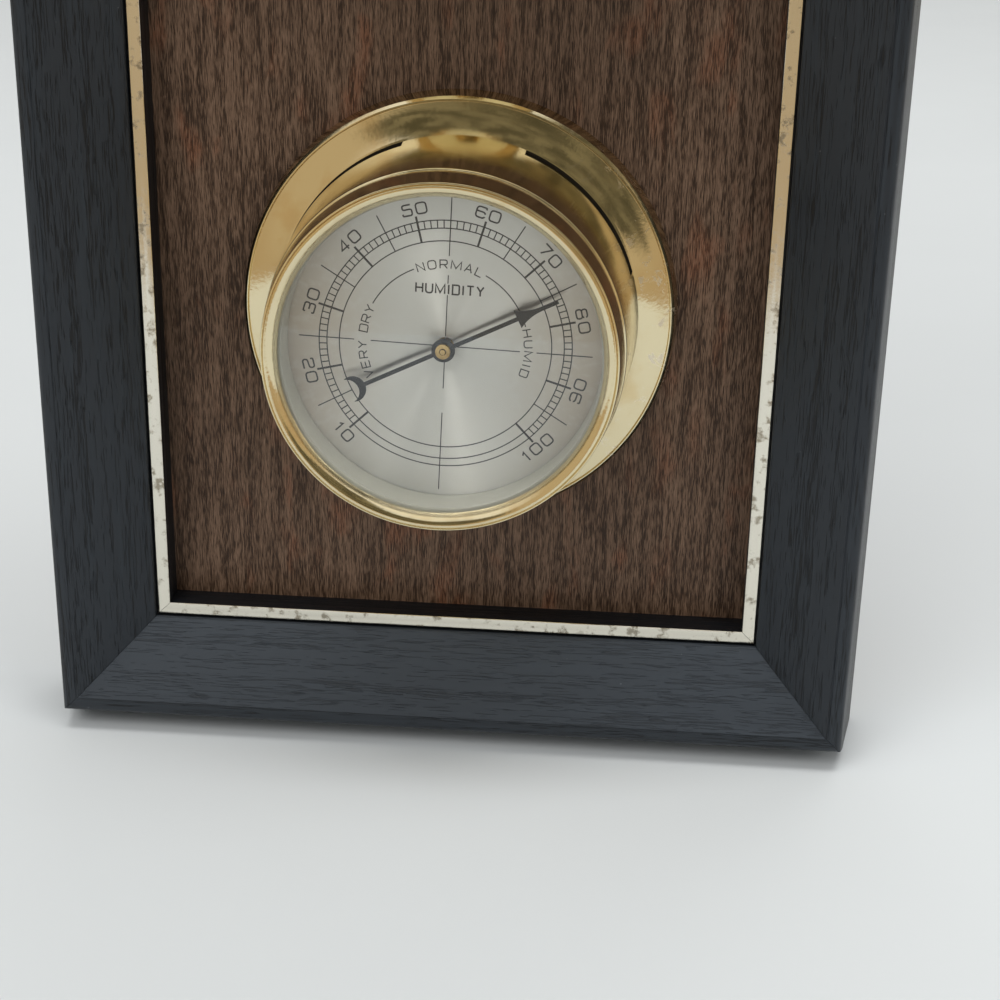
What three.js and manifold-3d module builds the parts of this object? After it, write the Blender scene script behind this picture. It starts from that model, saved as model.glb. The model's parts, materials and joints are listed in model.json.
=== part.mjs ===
/**
 * Three-dial weather station: a wall-hung picture-frame moulding with a metal liner, a woodgrain
 * panel and three porthole instruments, a thermometer, a barometer and a hygrometer.
 *
 * Millimetres, +Z up. The front faces -Y and +X is to the right. The origin is the middle notch of the
 * sawtooth hanger, on the back plane of the frame. Every depth of an instrument is measured forward from
 * the face of the panel.
 */
import * as THREE from 'three';
import { mergeVertices } from 'three/addons/utils/BufferGeometryUtils.js';
import Module from 'manifold-3d';

const wasm = await Module();
wasm.setup();

// Clearances
const SEAT_GAP = 0.2; // between pieces that rest on each other
const RUN_GAP = 0.15; // round a turning shaft, in radius
const SLIP_GAP = 0.3; // between sleeves that push over each other
const MITRE_GAP = 0.12; // open joint line of a mitre
const OVERCUT = 1; // how far a cutting tool reaches past what it cuts

// Frame moulding, whose profile is measured inward from the outer back edge and forward from the wall
const FRAME_WIDTH = 200;
const FRAME_HEIGHT = 457.2;
const FRAME_THICKNESS = 30.6;
const RAIL_WIDTH = 29.5; // outer back edge to the inside of the lip
const RABBET_WIDTH = 7.6; // how far the lip reaches over the panel
const EDGE_FLARE = 4.75; // the outer side leans in by this from back to front
const EDGE_ROUND = 4.4; // rounded-over band between the side and the sloping face
const EDGE_DROP = 4; // how far below the crest that band starts
const EDGE_FULLNESS = 0.2; // share of the band's width that stays sloped at the crest
const FACE_RISE = 12.4; // rise of the sloping face from the liner to the crest
const BACK_CHAMFER = 0.8;
const HANGER_DROP = 11; // hanger notch below the top edge

// Panel and what holds it
const PANEL_THICKNESS = 3.2;
const PANEL_RECESS = 4.8; // from the back of the frame to the back of the panel
const PANEL_FIT = 0.3; // play between panel and rabbet
const LIP_THICKNESS = 7.6; // in front of the panel, up to the seat of the liner
const ACCESS_HOLE_R = 19; // hole behind each instrument, for setting it
const POINT_LENGTH = 12;
const POINT_WIDTH = 8;
const POINT_THICKNESS = 0.6;
const POINT_BITE = 4; // driven this deep into the rabbet wall
const POINT_SPACING = 200; // between the two points of a stile

// Liner
const TRIM_WIDTH = 2.6;
const TRIM_THICKNESS = 1;
const TRIM_RIDGE_WIDTH = 1;
const TRIM_RIDGE_HEIGHT = 0.6;
const TRIM_LEG = 2; // down the inside of the lip
const TRIM_LEG_THICKNESS = 0.3;
const TRIM_GROOVE = 0.5; // dark gap between the moulding's face and the liner

// Hanger and bumpers
const HANGER_LENGTH = 46;
const HANGER_HEIGHT = 9;
const HANGER_STEEL = 1;
const HANGER_LIFT = 1.5; // the toothed middle stands off the wood by this
const HANGER_FOOT = 8;
const HANGER_SLOPE = 2;
const HANGER_TEETH = 9;
const HANGER_TOOTH = 2; // depth of a tooth
const PRONG_LENGTH = 8; // spikes of the feet, driven into the wood
const PRONG_WIDTH = 2.6;
const PRONG_THICKNESS = 1;
const BUMPER_R = 5;
const BUMPER_INSET = 11; // centre of a bumper from the two outer edges
const BUMPER_SHOULDER = 0.7; // share of its height where the rounded edge starts
const BUMPER_CROWN = 0.86; // share of its radius that touches the wall

// Instruments
const DIAL_PITCH = 123.5;
const ROUND_SEGMENTS = 28; // of a full turn
const FINE_SEGMENTS = 20; // of the smaller round pieces
const FLANGE_R = 50.6;
const RIM_HEIGHT = 6.2; // crest of the flange's rolled rim
const RIM_LEAN = 0.8; // the rim's outer side leans in by this from back to front
const RIM_WIDTH = 2.2; // from the rim's foot to the valley inside it
const RIM_ROUND = 0.4;
const DISH_HEIGHT = 5.6; // valley inside the rim, the lowest ring of the dished flange
const DISH_TOP = 8.3; // where the flange has risen to the drum
const DISH_BEND = 3.4; // from the drum to where the flange bends most
const DISH_BEND_RISE = 0.5; // of that bend above the valley
const DISH_STEPS = 4;
const CASE_R = 41.6; // drum at the flange
const CASE_NOSE_R = 39.4; // front of the drum, which tapers a little
const CASE_WALL = 0.9;
const CASE_SHOULDER = 36; // depth of the shoulder where the drum ends
const NOSE_ROUND = 0.6; // rounded edge of that shoulder
const NECK_R = 37.4; // neck that the bezel pushes over
const NECK_TOP = 40.2;
const REAR_LIP = 2.4; // inward lip at the back of the drum, which the back plate lies on
const REAR_LIP_THICKNESS = 1;
const SLOT_INSET = 0.1; // vent slots, just in front of the flange
const SLOT_WIDTH = 2.7;
const SLOT_ARC = 51; // degrees
const SLOT_COUNT = 4;
const SLOT_SEGMENTS = 6;

const BEZEL_WALL = 1.1;
const BEZEL_CREST = 44.7; // depth of the bezel's front crest
const BEZEL_TAPER = 0.9; // the sleeve narrows forward by this, in radius
const BEZEL_LIP_R = 34.8; // where the bevel meets the lens
const BEZEL_ROUND = 0.6; // outer edge of the crest
const BEZEL_GROOVE = 0.5;
const BEZEL_BEAD = 0.4; // width of the crest and of the bead behind the groove
const BEZEL_LIP = 0.25; // thickness of the bevel's inner edge
const LENS_THICKNESS = 1.4;
const LENS_CROWN = 0.3;
const LENS_LAND = 1; // flat ring of the lens inside the bevel, before its crown starts
const SPACER_WALL = 1.8;

const DIAL_FACE = 31.2;
const DIAL_THICKNESS = 0.5;
const DIAL_HOLE_R = 2;
const PLATE_THICKNESS = 0.8;
const POST_INSET = 9.4; // centres of the two dial posts from the rim of the back plate
const POST_R = 3; // corner radius of the hexagon
const SCREW_R = 1.5;
const SCREW_HEAD_R = 3.4;
const SCREW_HEAD = 2.2;
const SCREW_FLAT = 0.7; // share of the head's radius that is flat
const SCREW_BITE = 8; // how far it reaches into the post

// Pointer and its arbor
const ARBOR_R = 0.6;
const ARBOR_NOSE = 0.1; // stands this far in front of the bush
const POINTER_FACE = 35; // front of the blade
const POINTER_THICKNESS = 0.4;
const POINTER_TIP = 27.1;
const POINTER_HUB_R = 2.55;
const POINTER_SHAFT = 0.88; // width
const BARB_RADIUS = 17.6; // distance of the arrowhead's back from the axis
const BARB_WIDTH = 4.2;
const BARB_LENGTH = 5.4;
const BARB_CURVE_SHARE = 0.45; // share of the head's length where its edge bends most
const BARB_NECK_RATIO = 1.2; // width of the head there, in shaft widths
const CRESCENT_REACH = 21.8; // centre of the tail's crescent from the axis
const CRESCENT_R = 2.85;
const CRESCENT_THICKNESS = 1.6;
const CRESCENT_OPENING_SHARE = 0.72; // how far its hollow is moved outward, as a share of its middle radius
const BUSH_R = 1.65;
const BUSH_LENGTH = 2.2;
const BUSH_COLLAR = 1; // stands this far in front of the blade

// Readings that the pointers are built at, in degrees clockwise from the top of the dial
const THERMOMETER_REST = 27;
const BAROMETER_REST = 36;
const SET_HAND_REST = 18;
const HYGROMETER_REST = 62.1;
const HYGROMETER_LEAN = 2.1; // this instrument sits turned a little in the panel

// Coils of the thermometer and the hygrometer, and the bridge over them
const COIL_INNER_R = 2.3;
const COIL_PITCH = 2.1;
const COIL_TURNS = 5;
const COIL_STRIP = 0.4;
const COIL_FROM = 13;
const THERMOMETER_STRIP_WIDTH = 4.5;
const HYGROMETER_STRIP_WIDTH = 6.5;
const COIL_STEPS = 16; // per turn
const COLLET_R = 1.8;
const COLLET_OVERHANG = 0.3; // of a collet past both edges of its strip
const BRIDGE_ROOM = 2; // between the coil and the bridge's legs
const BRIDGE_WIDTH = 8;
const BRIDGE_HEIGHT = 26.5; // front face of its crossbar
const BRIDGE_STRIP = 1.2;
const BRIDGE_FOOT = 6;
const ANCHOR_WIDTH = 4;
const ANCHOR_FOOT = 6;
const ANCHOR_STRIP = 1.2;
const ANCHOR_RISE = 1; // past the front edge of the coil

// Barometer movement
const ADJUSTING_HOLE_R = 2;
const CAPSULE_R = 18.5;
const CAPSULE_FROM = 4;
const CAPSULE_DEPTH = 6.6;
const CAPSULE_RIPPLE = 0.7;
const CAPSULE_RIPPLES = 2;
const CAPSULE_FLAT = 2; // flat ring inside and outside the ripples
const CAPSULE_SEAM = 1; // height of the seam between the diaphragms
const CAPSULE_STEM_R = 3;
const CAPSULE_NOSE_R = 1.6;
const CAPSULE_SHOULDER = 0.4;
const CAPSULE_NOSE = 12.4;
const REAR_PLATE = 17; // back face of the movement's rear plate
const FRONT_PLATE = 25.5;
const MOVEMENT_PLATE = 1;
const PLATE_PAD = 4; // metal round each pillar
const PILLAR_R = 1.8;
const PILLAR_LEFT = 22; // of the arbor, level with it
const PILLAR_RIGHT = 14; // of the arbor, one pillar below and one above it
const PILLAR_DROP = 20;
const PILLAR_RISE = 21;
const SECTOR_MARGIN = 4; // metal beside the sector's pivot
const SECTOR_SHOULDER = 7.5; // metal above and below it
const PIVOT_R = 0.5;
const GEAR_MODULE = 0.45;
const PINION_TEETH = 12;
const SECTOR_RATIO = 8; // a full wheel would have this many times the pinion's teeth
const SECTOR_TEETH = 15;
const PRESSURE_ANGLE = 25;
const GEAR_BACKLASH = 0.07; // at the pitch circle, on each wheel
const GEAR_PLAY = 0.05; // added to the distance of the two axes
const GEAR_ROOT = 1.25; // depth of a tooth below the pitch circle, in modules
const GEAR_THICKNESS = 1.2;
const PINION_WIDTH = 2.4;
const SECTOR_FROM = 20;
const SECTOR_RIM = 2.6;
const SECTOR_ARM = 2.4;
const SECTOR_HUB_R = 2;
const SECTOR_HUB_RISE = 1; // past both faces of the sector
const ARM_SPREAD = 0.8; // share of the sector's half angle where its arms lie
const RIM_STEPS = 8;
const ROCKER_Y = 5; // height of the rocker shaft and of the sector's pivot above the pinion
const ROCKER_DEPTH = 14.5;
const ROCKER_R = 0.8;
const ROCKER_STUB = 1; // past the first ear
const FORK_RADIUS = 3; // from the sector's pivot to the drive arm
const FORK_REACH = 1.9;
const FORK_SLOT = 1.4;
const FORK_WIDTH = 3.4;
const DRIVE_PIN_R = 0.45;
const DRIVE_PIN_RISE = 0.8; // past the fork
const ROCKER_RATIO = 0.5; // turn of the rocker for a turn of the sector
const LIFT_ARM_WIDTH = 3;
const LIFT_ARM_THICKNESS = 1;
const LIFT_ARM_OVERHANG = 0.5; // past the middle of the capsule's nose
const LIFT_CLEARANCE = 0.95; // lets the arm swing without meeting the capsule's nose
const EAR_WIDTH = 1.6;
const EAR_HALF_HEIGHT = 2;
const WINDOW_ROOM = 1; // round the drive arm in the rear plate
const HAIRSPRING_FROM = 23;
const HAIRSPRING_STRIP = 0.25;
const HAIRSPRING_WIDTH = 1.1;
const HAIRSPRING_INNER_R = 2;
const HAIRSPRING_PITCH = 1.6;
const HAIRSPRING_TURNS = 4;
const STUD_THICKNESS = 1.2;
const STUD_WIDTH = 2;

// Set hand of the barometer and its knob
const SET_HAND_DEPTH = 38.2;
const SET_HAND_THICKNESS = 0.5;
const SET_HAND_TIP = 26;
const SET_HAND_TAIL = 9;
const SET_HAND_ROOT_WIDTH = 1.4;
const SET_HAND_TIP_WIDTH = 0.7;
const SET_HAND_TAIL_WIDTH = 2.1;
const SET_HAND_HUB_R = 2.2;
const SET_HAND_HUB = 1.8;
const SET_HUB_OVERHANG = 0.2; // of the hub behind the blade
const SET_SHAFT_R = 1.1;
const KNOB_R = 4;
const KNOB_NECK_R = 2;
const KNOB_NECK = 1.2;
const KNOB_HEIGHT = 4.2;
const KNOB_BEVEL = 0.6;

// Sizes worked out from the ones above
const HALF_WIDTH = FRAME_WIDTH / 2;
const HALF_HEIGHT = FRAME_HEIGHT / 2;
const FRAME_TOP = HANGER_DROP;
const FRAME_MIDDLE = FRAME_TOP - HALF_HEIGHT;
const RABBET_EDGE = RAIL_WIDTH - RABBET_WIDTH;
const PANEL_FACE = PANEL_RECESS + PANEL_THICKNESS; // forward of the frame's back
const LIP_BACK = PANEL_FACE + SEAT_GAP;
const TRIM_SEAT = LIP_BACK + LIP_THICKNESS;
const WALL_PLANE = SEAT_GAP + HANGER_LIFT + HANGER_STEEL; // behind the frame's back
const PLATE_BACK = REAR_LIP_THICKNESS + 2 * SEAT_GAP;
const PLATE_FRONT = PLATE_BACK + PLATE_THICKNESS;
const DIAL_BACK = DIAL_FACE - DIAL_THICKNESS;
const DRUM_BORE_R = CASE_R - CASE_WALL;
const PLATE_R = DRUM_BORE_R - SLIP_GAP;
const POST_REACH = PLATE_R - POST_INSET; // above and below the centre
const NECK_BORE_R = NECK_R - CASE_WALL;
const SPACER_R = NECK_BORE_R - SLIP_GAP;
const SLEEVE_R = NECK_R + SLIP_GAP;
const BEZEL_REAR = CASE_SHOULDER + CASE_WALL + SLIP_GAP;
const COIL_END_R = COIL_INNER_R + COIL_PITCH * COIL_TURNS;
const LENS_BACK = NECK_TOP + SEAT_GAP;
const LENS_FRONT = LENS_BACK + LENS_THICKNESS;
const ARBOR_END = POINTER_FACE + BUSH_COLLAR + ARBOR_NOSE;
const PINION_R = (GEAR_MODULE * PINION_TEETH) / 2;
const SECTOR_R = PINION_R * SECTOR_RATIO;
const GEAR_CENTRES = PINION_R + SECTOR_R + GEAR_PLAY;
const SECTOR_X = Math.sqrt(GEAR_CENTRES ** 2 - ROCKER_Y ** 2);
const DRIVE_X = SECTOR_X + FORK_RADIUS;

// Finishes
const finish = (color, roughness, metalness, extra = {}) =>
  new THREE.MeshStandardMaterial({ color, roughness, metalness, ...extra });
const PAINTED_OAK = finish('#262a30', 0.55, 0);
const SILVERED = finish('#c9c3b2', 0.35, 1);
const WALNUT = finish('#4b3932', 0.6, 0);
const STEEL = finish('#9a9c9e', 0.4, 1);
const RUBBER = finish('#3a3a3a', 0.9, 0);
const BRASS = finish('#c9ad6b', 0.22, 1);
const ROUGH_BRASS = finish('#b3975a', 0.45, 1);
const GLASS = finish('#eef2f2', 0.05, 0, { transparent: true, opacity: 0.25 });
const BRUSHED_DIAL = finish('#b9b8b2', 0.4, 0.6);
const BLACK = finish('#1b1b1c', 0.5, 0.2);
const COPPER = finish('#a8744c', 0.4, 1);
const PAPER_STRIP = finish('#c8bda0', 0.8, 0);

const rad = THREE.MathUtils.degToRad;

// Geometry helpers

/** Joins equal corners, drops triangles without area and turns the faces outward. */
function closed(geometry) {
  geometry.deleteAttribute('normal');
  geometry.deleteAttribute('uv');
  const merged = mergeVertices(geometry, 1e-4);
  const at = merged.attributes.position;
  const kept = [];
  const corners = [new THREE.Vector3(), new THREE.Vector3(), new THREE.Vector3()];
  let volume = 0;
  for (let i = 0; i < merged.index.count; i += 3) {
    const triangle = [0, 1, 2].map((k) => merged.index.getX(i + k));
    if (new Set(triangle).size === 3) {
      triangle.forEach((vertex, k) => corners[k].fromBufferAttribute(at, vertex));
      volume += corners[0].dot(corners[1].clone().cross(corners[2]));
      kept.push(...triangle);
    }
  }
  if (volume < 0) kept.reverse();
  merged.setIndex(kept);
  merged.clearGroups();
  return merged;
}

function toSolid(geometry) {
  const bare = closed(geometry);
  return new wasm.Manifold(new wasm.Mesh({
    numProp: 3,
    vertProperties: new Float32Array(bare.attributes.position.array),
    triVerts: new Uint32Array(bare.index.array),
  }));
}

function toGeometry(solid) {
  const mesh = solid.getMesh();
  const geometry = new THREE.BufferGeometry();
  geometry.setAttribute('position', new THREE.BufferAttribute(new Float32Array(mesh.vertProperties), 3));
  geometry.setIndex(new THREE.BufferAttribute(new Uint32Array(mesh.triVerts), 1));
  return geometry;
}

function cut(geometry, ...tools) {
  return toGeometry(tools.reduce((rest, tool) => rest.subtract(toSolid(tool)), toSolid(geometry)));
}

function join(geometry, ...others) {
  return toGeometry(others.reduce((sum, other) => sum.add(toSolid(other)), toSolid(geometry)));
}

/** Turns a profile of [radius, depth] points round the local Z axis. A ring's profile closes on itself. */
function turned(profile, segments = ROUND_SEGMENTS, isRing = false) {
  const points = profile.map(([radius, depth]) => new THREE.Vector2(radius, depth));
  if (isRing) points.push(points[0].clone());
  return closed(new THREE.LatheGeometry(points, segments).rotateX(Math.PI / 2));
}

const ring = (profile, segments) => turned(profile, segments, true);

/** Extrudes an outline of [x, y] points from one depth to another along the local Z axis. */
function slab(outline, from, to, holes = []) {
  const shape = outline instanceof THREE.Shape ? outline : polygon(outline);
  shape.holes.push(...holes);
  const solid = new THREE.ExtrudeGeometry(shape, { depth: to - from, bevelEnabled: false, curveSegments: 5 });
  return closed(solid.translate(0, 0, from));
}

const polygon = (points) => new THREE.Shape(points.map(([x, y]) => new THREE.Vector2(x, y)));

/** Corners of a regular polygon, which the given circle just touches from inside or outside. */
function roundCorners(x, y, radius, sides, isOutside) {
  const reach = isOutside ? radius / Math.cos(Math.PI / sides) : radius;
  return Array.from({ length: sides }, (_, i) => {
    const angle = (2 * Math.PI * i) / sides;
    return new THREE.Vector2(x + reach * Math.cos(angle), y + reach * Math.sin(angle));
  });
}

/** A straight-sided round hole whose sides keep the full radius clear. */
const hole = (x, y, radius, sides = 8) => new THREE.Path(roundCorners(x, y, radius, sides, true));

const discOutline = (radius) => new THREE.Shape(roundCorners(0, 0, radius, ROUND_SEGMENTS, false));

const block = (xs, ys, zs) => closed(new THREE.BoxGeometry(xs[1] - xs[0], ys[1] - ys[0], zs[1] - zs[0])
  .translate((xs[0] + xs[1]) / 2, (ys[0] + ys[1]) / 2, (zs[0] + zs[1]) / 2));

const rod = (radius, from, to, sides = 8) =>
  turned([[0, from], [radius, from], [radius, to], [0, to]], sides);

/** Tool for a straight-sided bore that keeps the full radius clear. */
const drill = (radius, from, to, sides = 8) => rod(radius / Math.cos(Math.PI / sides), from, to, sides);

function place(parent, name, geometry, material) {
  geometry.computeVertexNormals();
  const mesh = new THREE.Mesh(geometry, material);
  mesh.name = name;
  parent.add(mesh);
  return mesh;
}

// Frame, liner, panel and hanger

/** Profile of the moulding: inward from the outer back edge, forward from the wall side. */
function mouldingProfile() {
  const faceEnd = RAIL_WIDTH - TRIM_WIDTH - TRIM_GROOVE;
  const shape = new THREE.Shape();
  shape.moveTo(BACK_CHAMFER, 0);
  shape.lineTo(RABBET_EDGE, 0);
  shape.lineTo(RABBET_EDGE, LIP_BACK);
  shape.lineTo(RAIL_WIDTH, LIP_BACK);
  shape.lineTo(RAIL_WIDTH, TRIM_SEAT);
  shape.lineTo(faceEnd, TRIM_SEAT);
  shape.lineTo(faceEnd, FRAME_THICKNESS - FACE_RISE);
  shape.lineTo(EDGE_FLARE + EDGE_ROUND, FRAME_THICKNESS);
  const bend = EDGE_FLARE + EDGE_ROUND * EDGE_FULLNESS;
  shape.quadraticCurveTo(bend, FRAME_THICKNESS, EDGE_FLARE, FRAME_THICKNESS - EDGE_DROP);
  shape.lineTo(0, BACK_CHAMFER);
  shape.closePath();
  return shape;
}

/** Section of the liner: a flat band with a ridge along the panel and a leg down the lip. */
function trimProfile() {
  const outer = RAIL_WIDTH - TRIM_WIDTH;
  const lip = RAIL_WIDTH + SEAT_GAP / 2;
  const inner = lip + TRIM_LEG_THICKNESS;
  const seat = TRIM_SEAT + SEAT_GAP;
  const top = seat + TRIM_THICKNESS;
  const chamfer = TRIM_RIDGE_WIDTH / 4;
  return polygon([
    [outer, seat],
    [lip, seat],
    [lip, seat - TRIM_LEG],
    [inner, seat - TRIM_LEG],
    [inner, top + TRIM_RIDGE_HEIGHT - chamfer],
    [inner - chamfer, top + TRIM_RIDGE_HEIGHT],
    [inner - TRIM_RIDGE_WIDTH, top + TRIM_RIDGE_HEIGHT],
    [inner - TRIM_RIDGE_WIDTH - chamfer, top],
    [outer, top],
  ]);
}

/** Runs a profile along one side of the frame and cuts both ends to the mitre. */
function mitred(profile, length) {
  const bar = new THREE.ExtrudeGeometry(profile, { depth: 1, bevelEnabled: false, curveSegments: 4 });
  const at = bar.attributes.position;
  for (let i = 0; i < at.count; i++) {
    const half = length / 2 - at.getX(i) - MITRE_GAP;
    at.setZ(i, at.getZ(i) > 0.5 ? half : -half);
  }
  return closed(bar);
}

/** The four sides: where each one's outer back edge lies, which way is inward, and its length. */
const SIDES = [
  { name: 'bottom', inward: [0, 0, 1], edge: [0, 0, FRAME_TOP - FRAME_HEIGHT], length: FRAME_WIDTH },
  { name: 'right', inward: [-1, 0, 0], edge: [HALF_WIDTH, 0, FRAME_MIDDLE], length: FRAME_HEIGHT },
  { name: 'top', inward: [0, 0, -1], edge: [0, 0, FRAME_TOP], length: FRAME_WIDTH },
  { name: 'left', inward: [1, 0, 0], edge: [-HALF_WIDTH, 0, FRAME_MIDDLE], length: FRAME_HEIGHT },
].map((side) => {
  const inward = new THREE.Vector3(...side.inward);
  const forward = new THREE.Vector3(0, -1, 0);
  const basis = new THREE.Matrix4().makeBasis(inward, forward, inward.clone().cross(forward));
  return { ...side, isUpright: side.inward[0] !== 0, matrix: basis.setPosition(...side.edge) };
});

/** A flat pointed tab: its tip is in the wood, its square end lies over the back of the panel. */
function panelPoint(along, grow = 0) {
  const half = POINT_WIDTH / 2 + grow;
  const tip = RABBET_EDGE - POINT_BITE - grow;
  const shoulder = RABBET_EDGE - POINT_BITE / 2;
  const end = RABBET_EDGE - POINT_BITE + POINT_LENGTH;
  const outline = [
    [tip, along],
    [shoulder, along - half],
    [end, along - half],
    [end, along + half],
    [shoulder, along + half],
  ];
  const front = PANEL_RECESS - SEAT_GAP;
  const tab = slab(outline, -front - grow, -front + POINT_THICKNESS + grow);
  return tab.rotateX(Math.PI / 2);
}

/** Mouldings, liners and panel points of the four sides, each drawn inward, forward and along its side. */
function frame(group, prongs) {
  for (const side of SIDES) {
    const { name, length, matrix, isUpright } = side;
    const points = isUpright ? [POINT_SPACING / 2, -POINT_SPACING / 2] : [];
    const tools = points.map((along) => panelPoint(along, SEAT_GAP));
    if (name === 'top') tools.push(...prongs.map((prong) => prong.applyMatrix4(matrix.clone().invert())));
    const moulding = mitred(mouldingProfile(), length);
    const rail = tools.length > 0 ? cut(moulding, ...tools) : moulding;
    place(group, `frame_${name}_${isUpright ? 'stile' : 'rail'}`, rail, PAINTED_OAK).applyMatrix4(matrix);
    place(group, `trim_${name}`, mitred(trimProfile(), length), SILVERED).applyMatrix4(matrix);
    points.forEach((along) => {
      const tab = place(group, '', panelPoint(along), STEEL);
      tab.applyMatrix4(matrix);
      const isUpper = new THREE.Vector3(0, 0, along).applyMatrix4(matrix).z > FRAME_MIDDLE;
      tab.name = `panel_point_${name}_${isUpper ? 'upper' : 'lower'}`;
    });
  }
}

function panel(group, instruments) {
  const halfWidth = HALF_WIDTH - RABBET_EDGE - PANEL_FIT;
  const halfHeight = HALF_HEIGHT - RABBET_EDGE - PANEL_FIT;
  const outline = [
    [-halfWidth, -halfHeight],
    [halfWidth, -halfHeight],
    [halfWidth, halfHeight],
    [-halfWidth, halfHeight],
  ];
  const holes = instruments.flatMap(({ height, lean }) => {
    const y = height - FRAME_MIDDLE;
    const screws = [-1, 1].map((way) => hole(
      way * POST_REACH * Math.sin(rad(lean)),
      y + way * POST_REACH * Math.cos(rad(lean)),
      SCREW_R + SLIP_GAP,
    ));
    return [hole(0, y, ACCESS_HOLE_R, FINE_SEGMENTS), ...screws];
  });
  const mesh = place(group, 'wood_panel', slab(outline, PANEL_RECESS, PANEL_FACE, holes), WALNUT);
  mesh.rotation.x = Math.PI / 2;
  mesh.position.z = FRAME_MIDDLE;
}

/** The two spikes of the hanger's feet, which point forward into the top rail. */
function hangerProngs(grow = 0) {
  const half = PRONG_WIDTH / 2 + grow;
  const middle = HANGER_HEIGHT / 2 - HANGER_TOOTH;
  const from = middle - PRONG_THICKNESS / 2 - grow;
  return [-1, 1].map((way) => {
    const x = (way * (HANGER_LENGTH - HANGER_FOOT)) / 2;
    const root = SEAT_GAP + HANGER_STEEL / 2;
    const outline = [[x - half, root], [x - half, -PRONG_LENGTH / 2], [x, -PRONG_LENGTH - 2 * grow]];
    const right = [[x + half, -PRONG_LENGTH / 2], [x + half, root]];
    return slab([...outline, ...right], from, from + PRONG_THICKNESS + 2 * grow);
  });
}

/** Toothed hanger: two feet on the wood and a lifted bar whose lower edge is a row of notches. */
function hanger(group) {
  const half = HANGER_LENGTH / 2;
  const knee = half - HANGER_FOOT;
  const rise = knee - HANGER_SLOPE;
  const lift = HANGER_LIFT;
  const under = [[-half, 0], [-knee, 0], [-rise, lift], [rise, lift], [knee, 0], [half, 0]];
  const over = under.map(([x, y]) => [x, y + HANGER_STEEL]).reverse();
  const strip = slab([...under, ...over], -HANGER_TOOTH, HANGER_HEIGHT - HANGER_TOOTH);
  const pitch = (2 * rise) / (HANGER_TEETH + 1);
  const back = WALL_PLANE + OVERCUT;
  const notches = Array.from({ length: HANGER_TEETH }, (_, i) => {
    const x = (i - (HANGER_TEETH - 1) / 2) * pitch;
    const low = -HANGER_TOOTH - OVERCUT;
    return slab([[x - pitch / 2, low], [x + pitch / 2, low], [x, 0]], -back, 0).rotateX(Math.PI / 2);
  });
  const plate = cut(strip.translate(0, SEAT_GAP, 0), ...notches);
  place(group, 'sawtooth_hanger', join(plate, ...hangerProngs()), STEEL);
}

/** Two pads that hold the foot of the frame as far from the wall as the hanger holds its top. */
function bumpers(group) {
  [['left', -1], ['right', 1]].forEach(([name, way]) => {
    const pad = turned([
      [0, SEAT_GAP],
      [BUMPER_R, SEAT_GAP],
      [BUMPER_R, WALL_PLANE * BUMPER_SHOULDER],
      [BUMPER_R * BUMPER_CROWN, WALL_PLANE],
      [0, WALL_PLANE],
    ], 16);
    const mesh = place(group, `bumper_${name}`, pad, RUBBER);
    mesh.rotation.x = -Math.PI / 2;
    mesh.position.set(way * (HALF_WIDTH - BUMPER_INSET), 0, FRAME_TOP - FRAME_HEIGHT + BUMPER_INSET);
  });
}

// Shared pieces of the three instruments

/** Dished face of the flange as [radius, depth] points, from the valley in the rim to the drum. */
function dishFace(setBack) {
  const valley = new THREE.Vector2(FLANGE_R - RIM_WIDTH, DISH_HEIGHT - setBack);
  const bend = new THREE.Vector2(CASE_R + DISH_BEND, DISH_HEIGHT + DISH_BEND_RISE - setBack);
  const drum = new THREE.Vector2(CASE_R, DISH_TOP - setBack);
  return new THREE.QuadraticBezierCurve(valley, bend, drum).getPoints(DISH_STEPS).map(({ x, y }) => [x, y]);
}

/** Spun brass drum with a dished flange, a deep rolled rim, a neck for the bezel and four vent slots. */
function caseShell() {
  const foot = SEAT_GAP;
  const lipTop = foot + REAR_LIP_THICKNESS;
  const noseBore = CASE_NOSE_R - CASE_WALL;
  const rimR = FLANGE_R - RIM_LEAN;
  const shell = ring([
    [FLANGE_R - RIM_ROUND, foot],
    [FLANGE_R, foot + RIM_ROUND],
    [rimR, RIM_HEIGHT - RIM_ROUND],
    [rimR - RIM_ROUND, RIM_HEIGHT],
    [rimR - 2 * RIM_ROUND, RIM_HEIGHT - RIM_ROUND / 2],
    ...dishFace(0),
    [CASE_NOSE_R, CASE_SHOULDER - NOSE_ROUND],
    [CASE_NOSE_R - NOSE_ROUND, CASE_SHOULDER + CASE_WALL],
    [NECK_R, CASE_SHOULDER + CASE_WALL],
    [NECK_R, NECK_TOP],
    [NECK_BORE_R, NECK_TOP],
    [NECK_BORE_R, CASE_SHOULDER],
    [noseBore, CASE_SHOULDER - NOSE_ROUND],
    [DRUM_BORE_R, lipTop],
    [DRUM_BORE_R - REAR_LIP, lipTop],
    [DRUM_BORE_R - REAR_LIP, foot],
    [CASE_R, foot],
    ...dishFace(CASE_WALL).reverse(),
    [rimR - CASE_WALL, RIM_HEIGHT - RIM_ROUND - CASE_WALL],
    [FLANGE_R - CASE_WALL, foot],
  ]);
  const slots = Array.from({ length: SLOT_COUNT }, (_, i) => {
    const middle = (360 / SLOT_COUNT) * (i + 0.5);
    const arc = sector(DRUM_BORE_R - OVERCUT, CASE_R + OVERCUT, middle, SLOT_ARC);
    return slab(arc, DISH_TOP + SLOT_INSET, DISH_TOP + SLOT_INSET + SLOT_WIDTH);
  });
  return cut(shell, ...slots);
}

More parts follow.
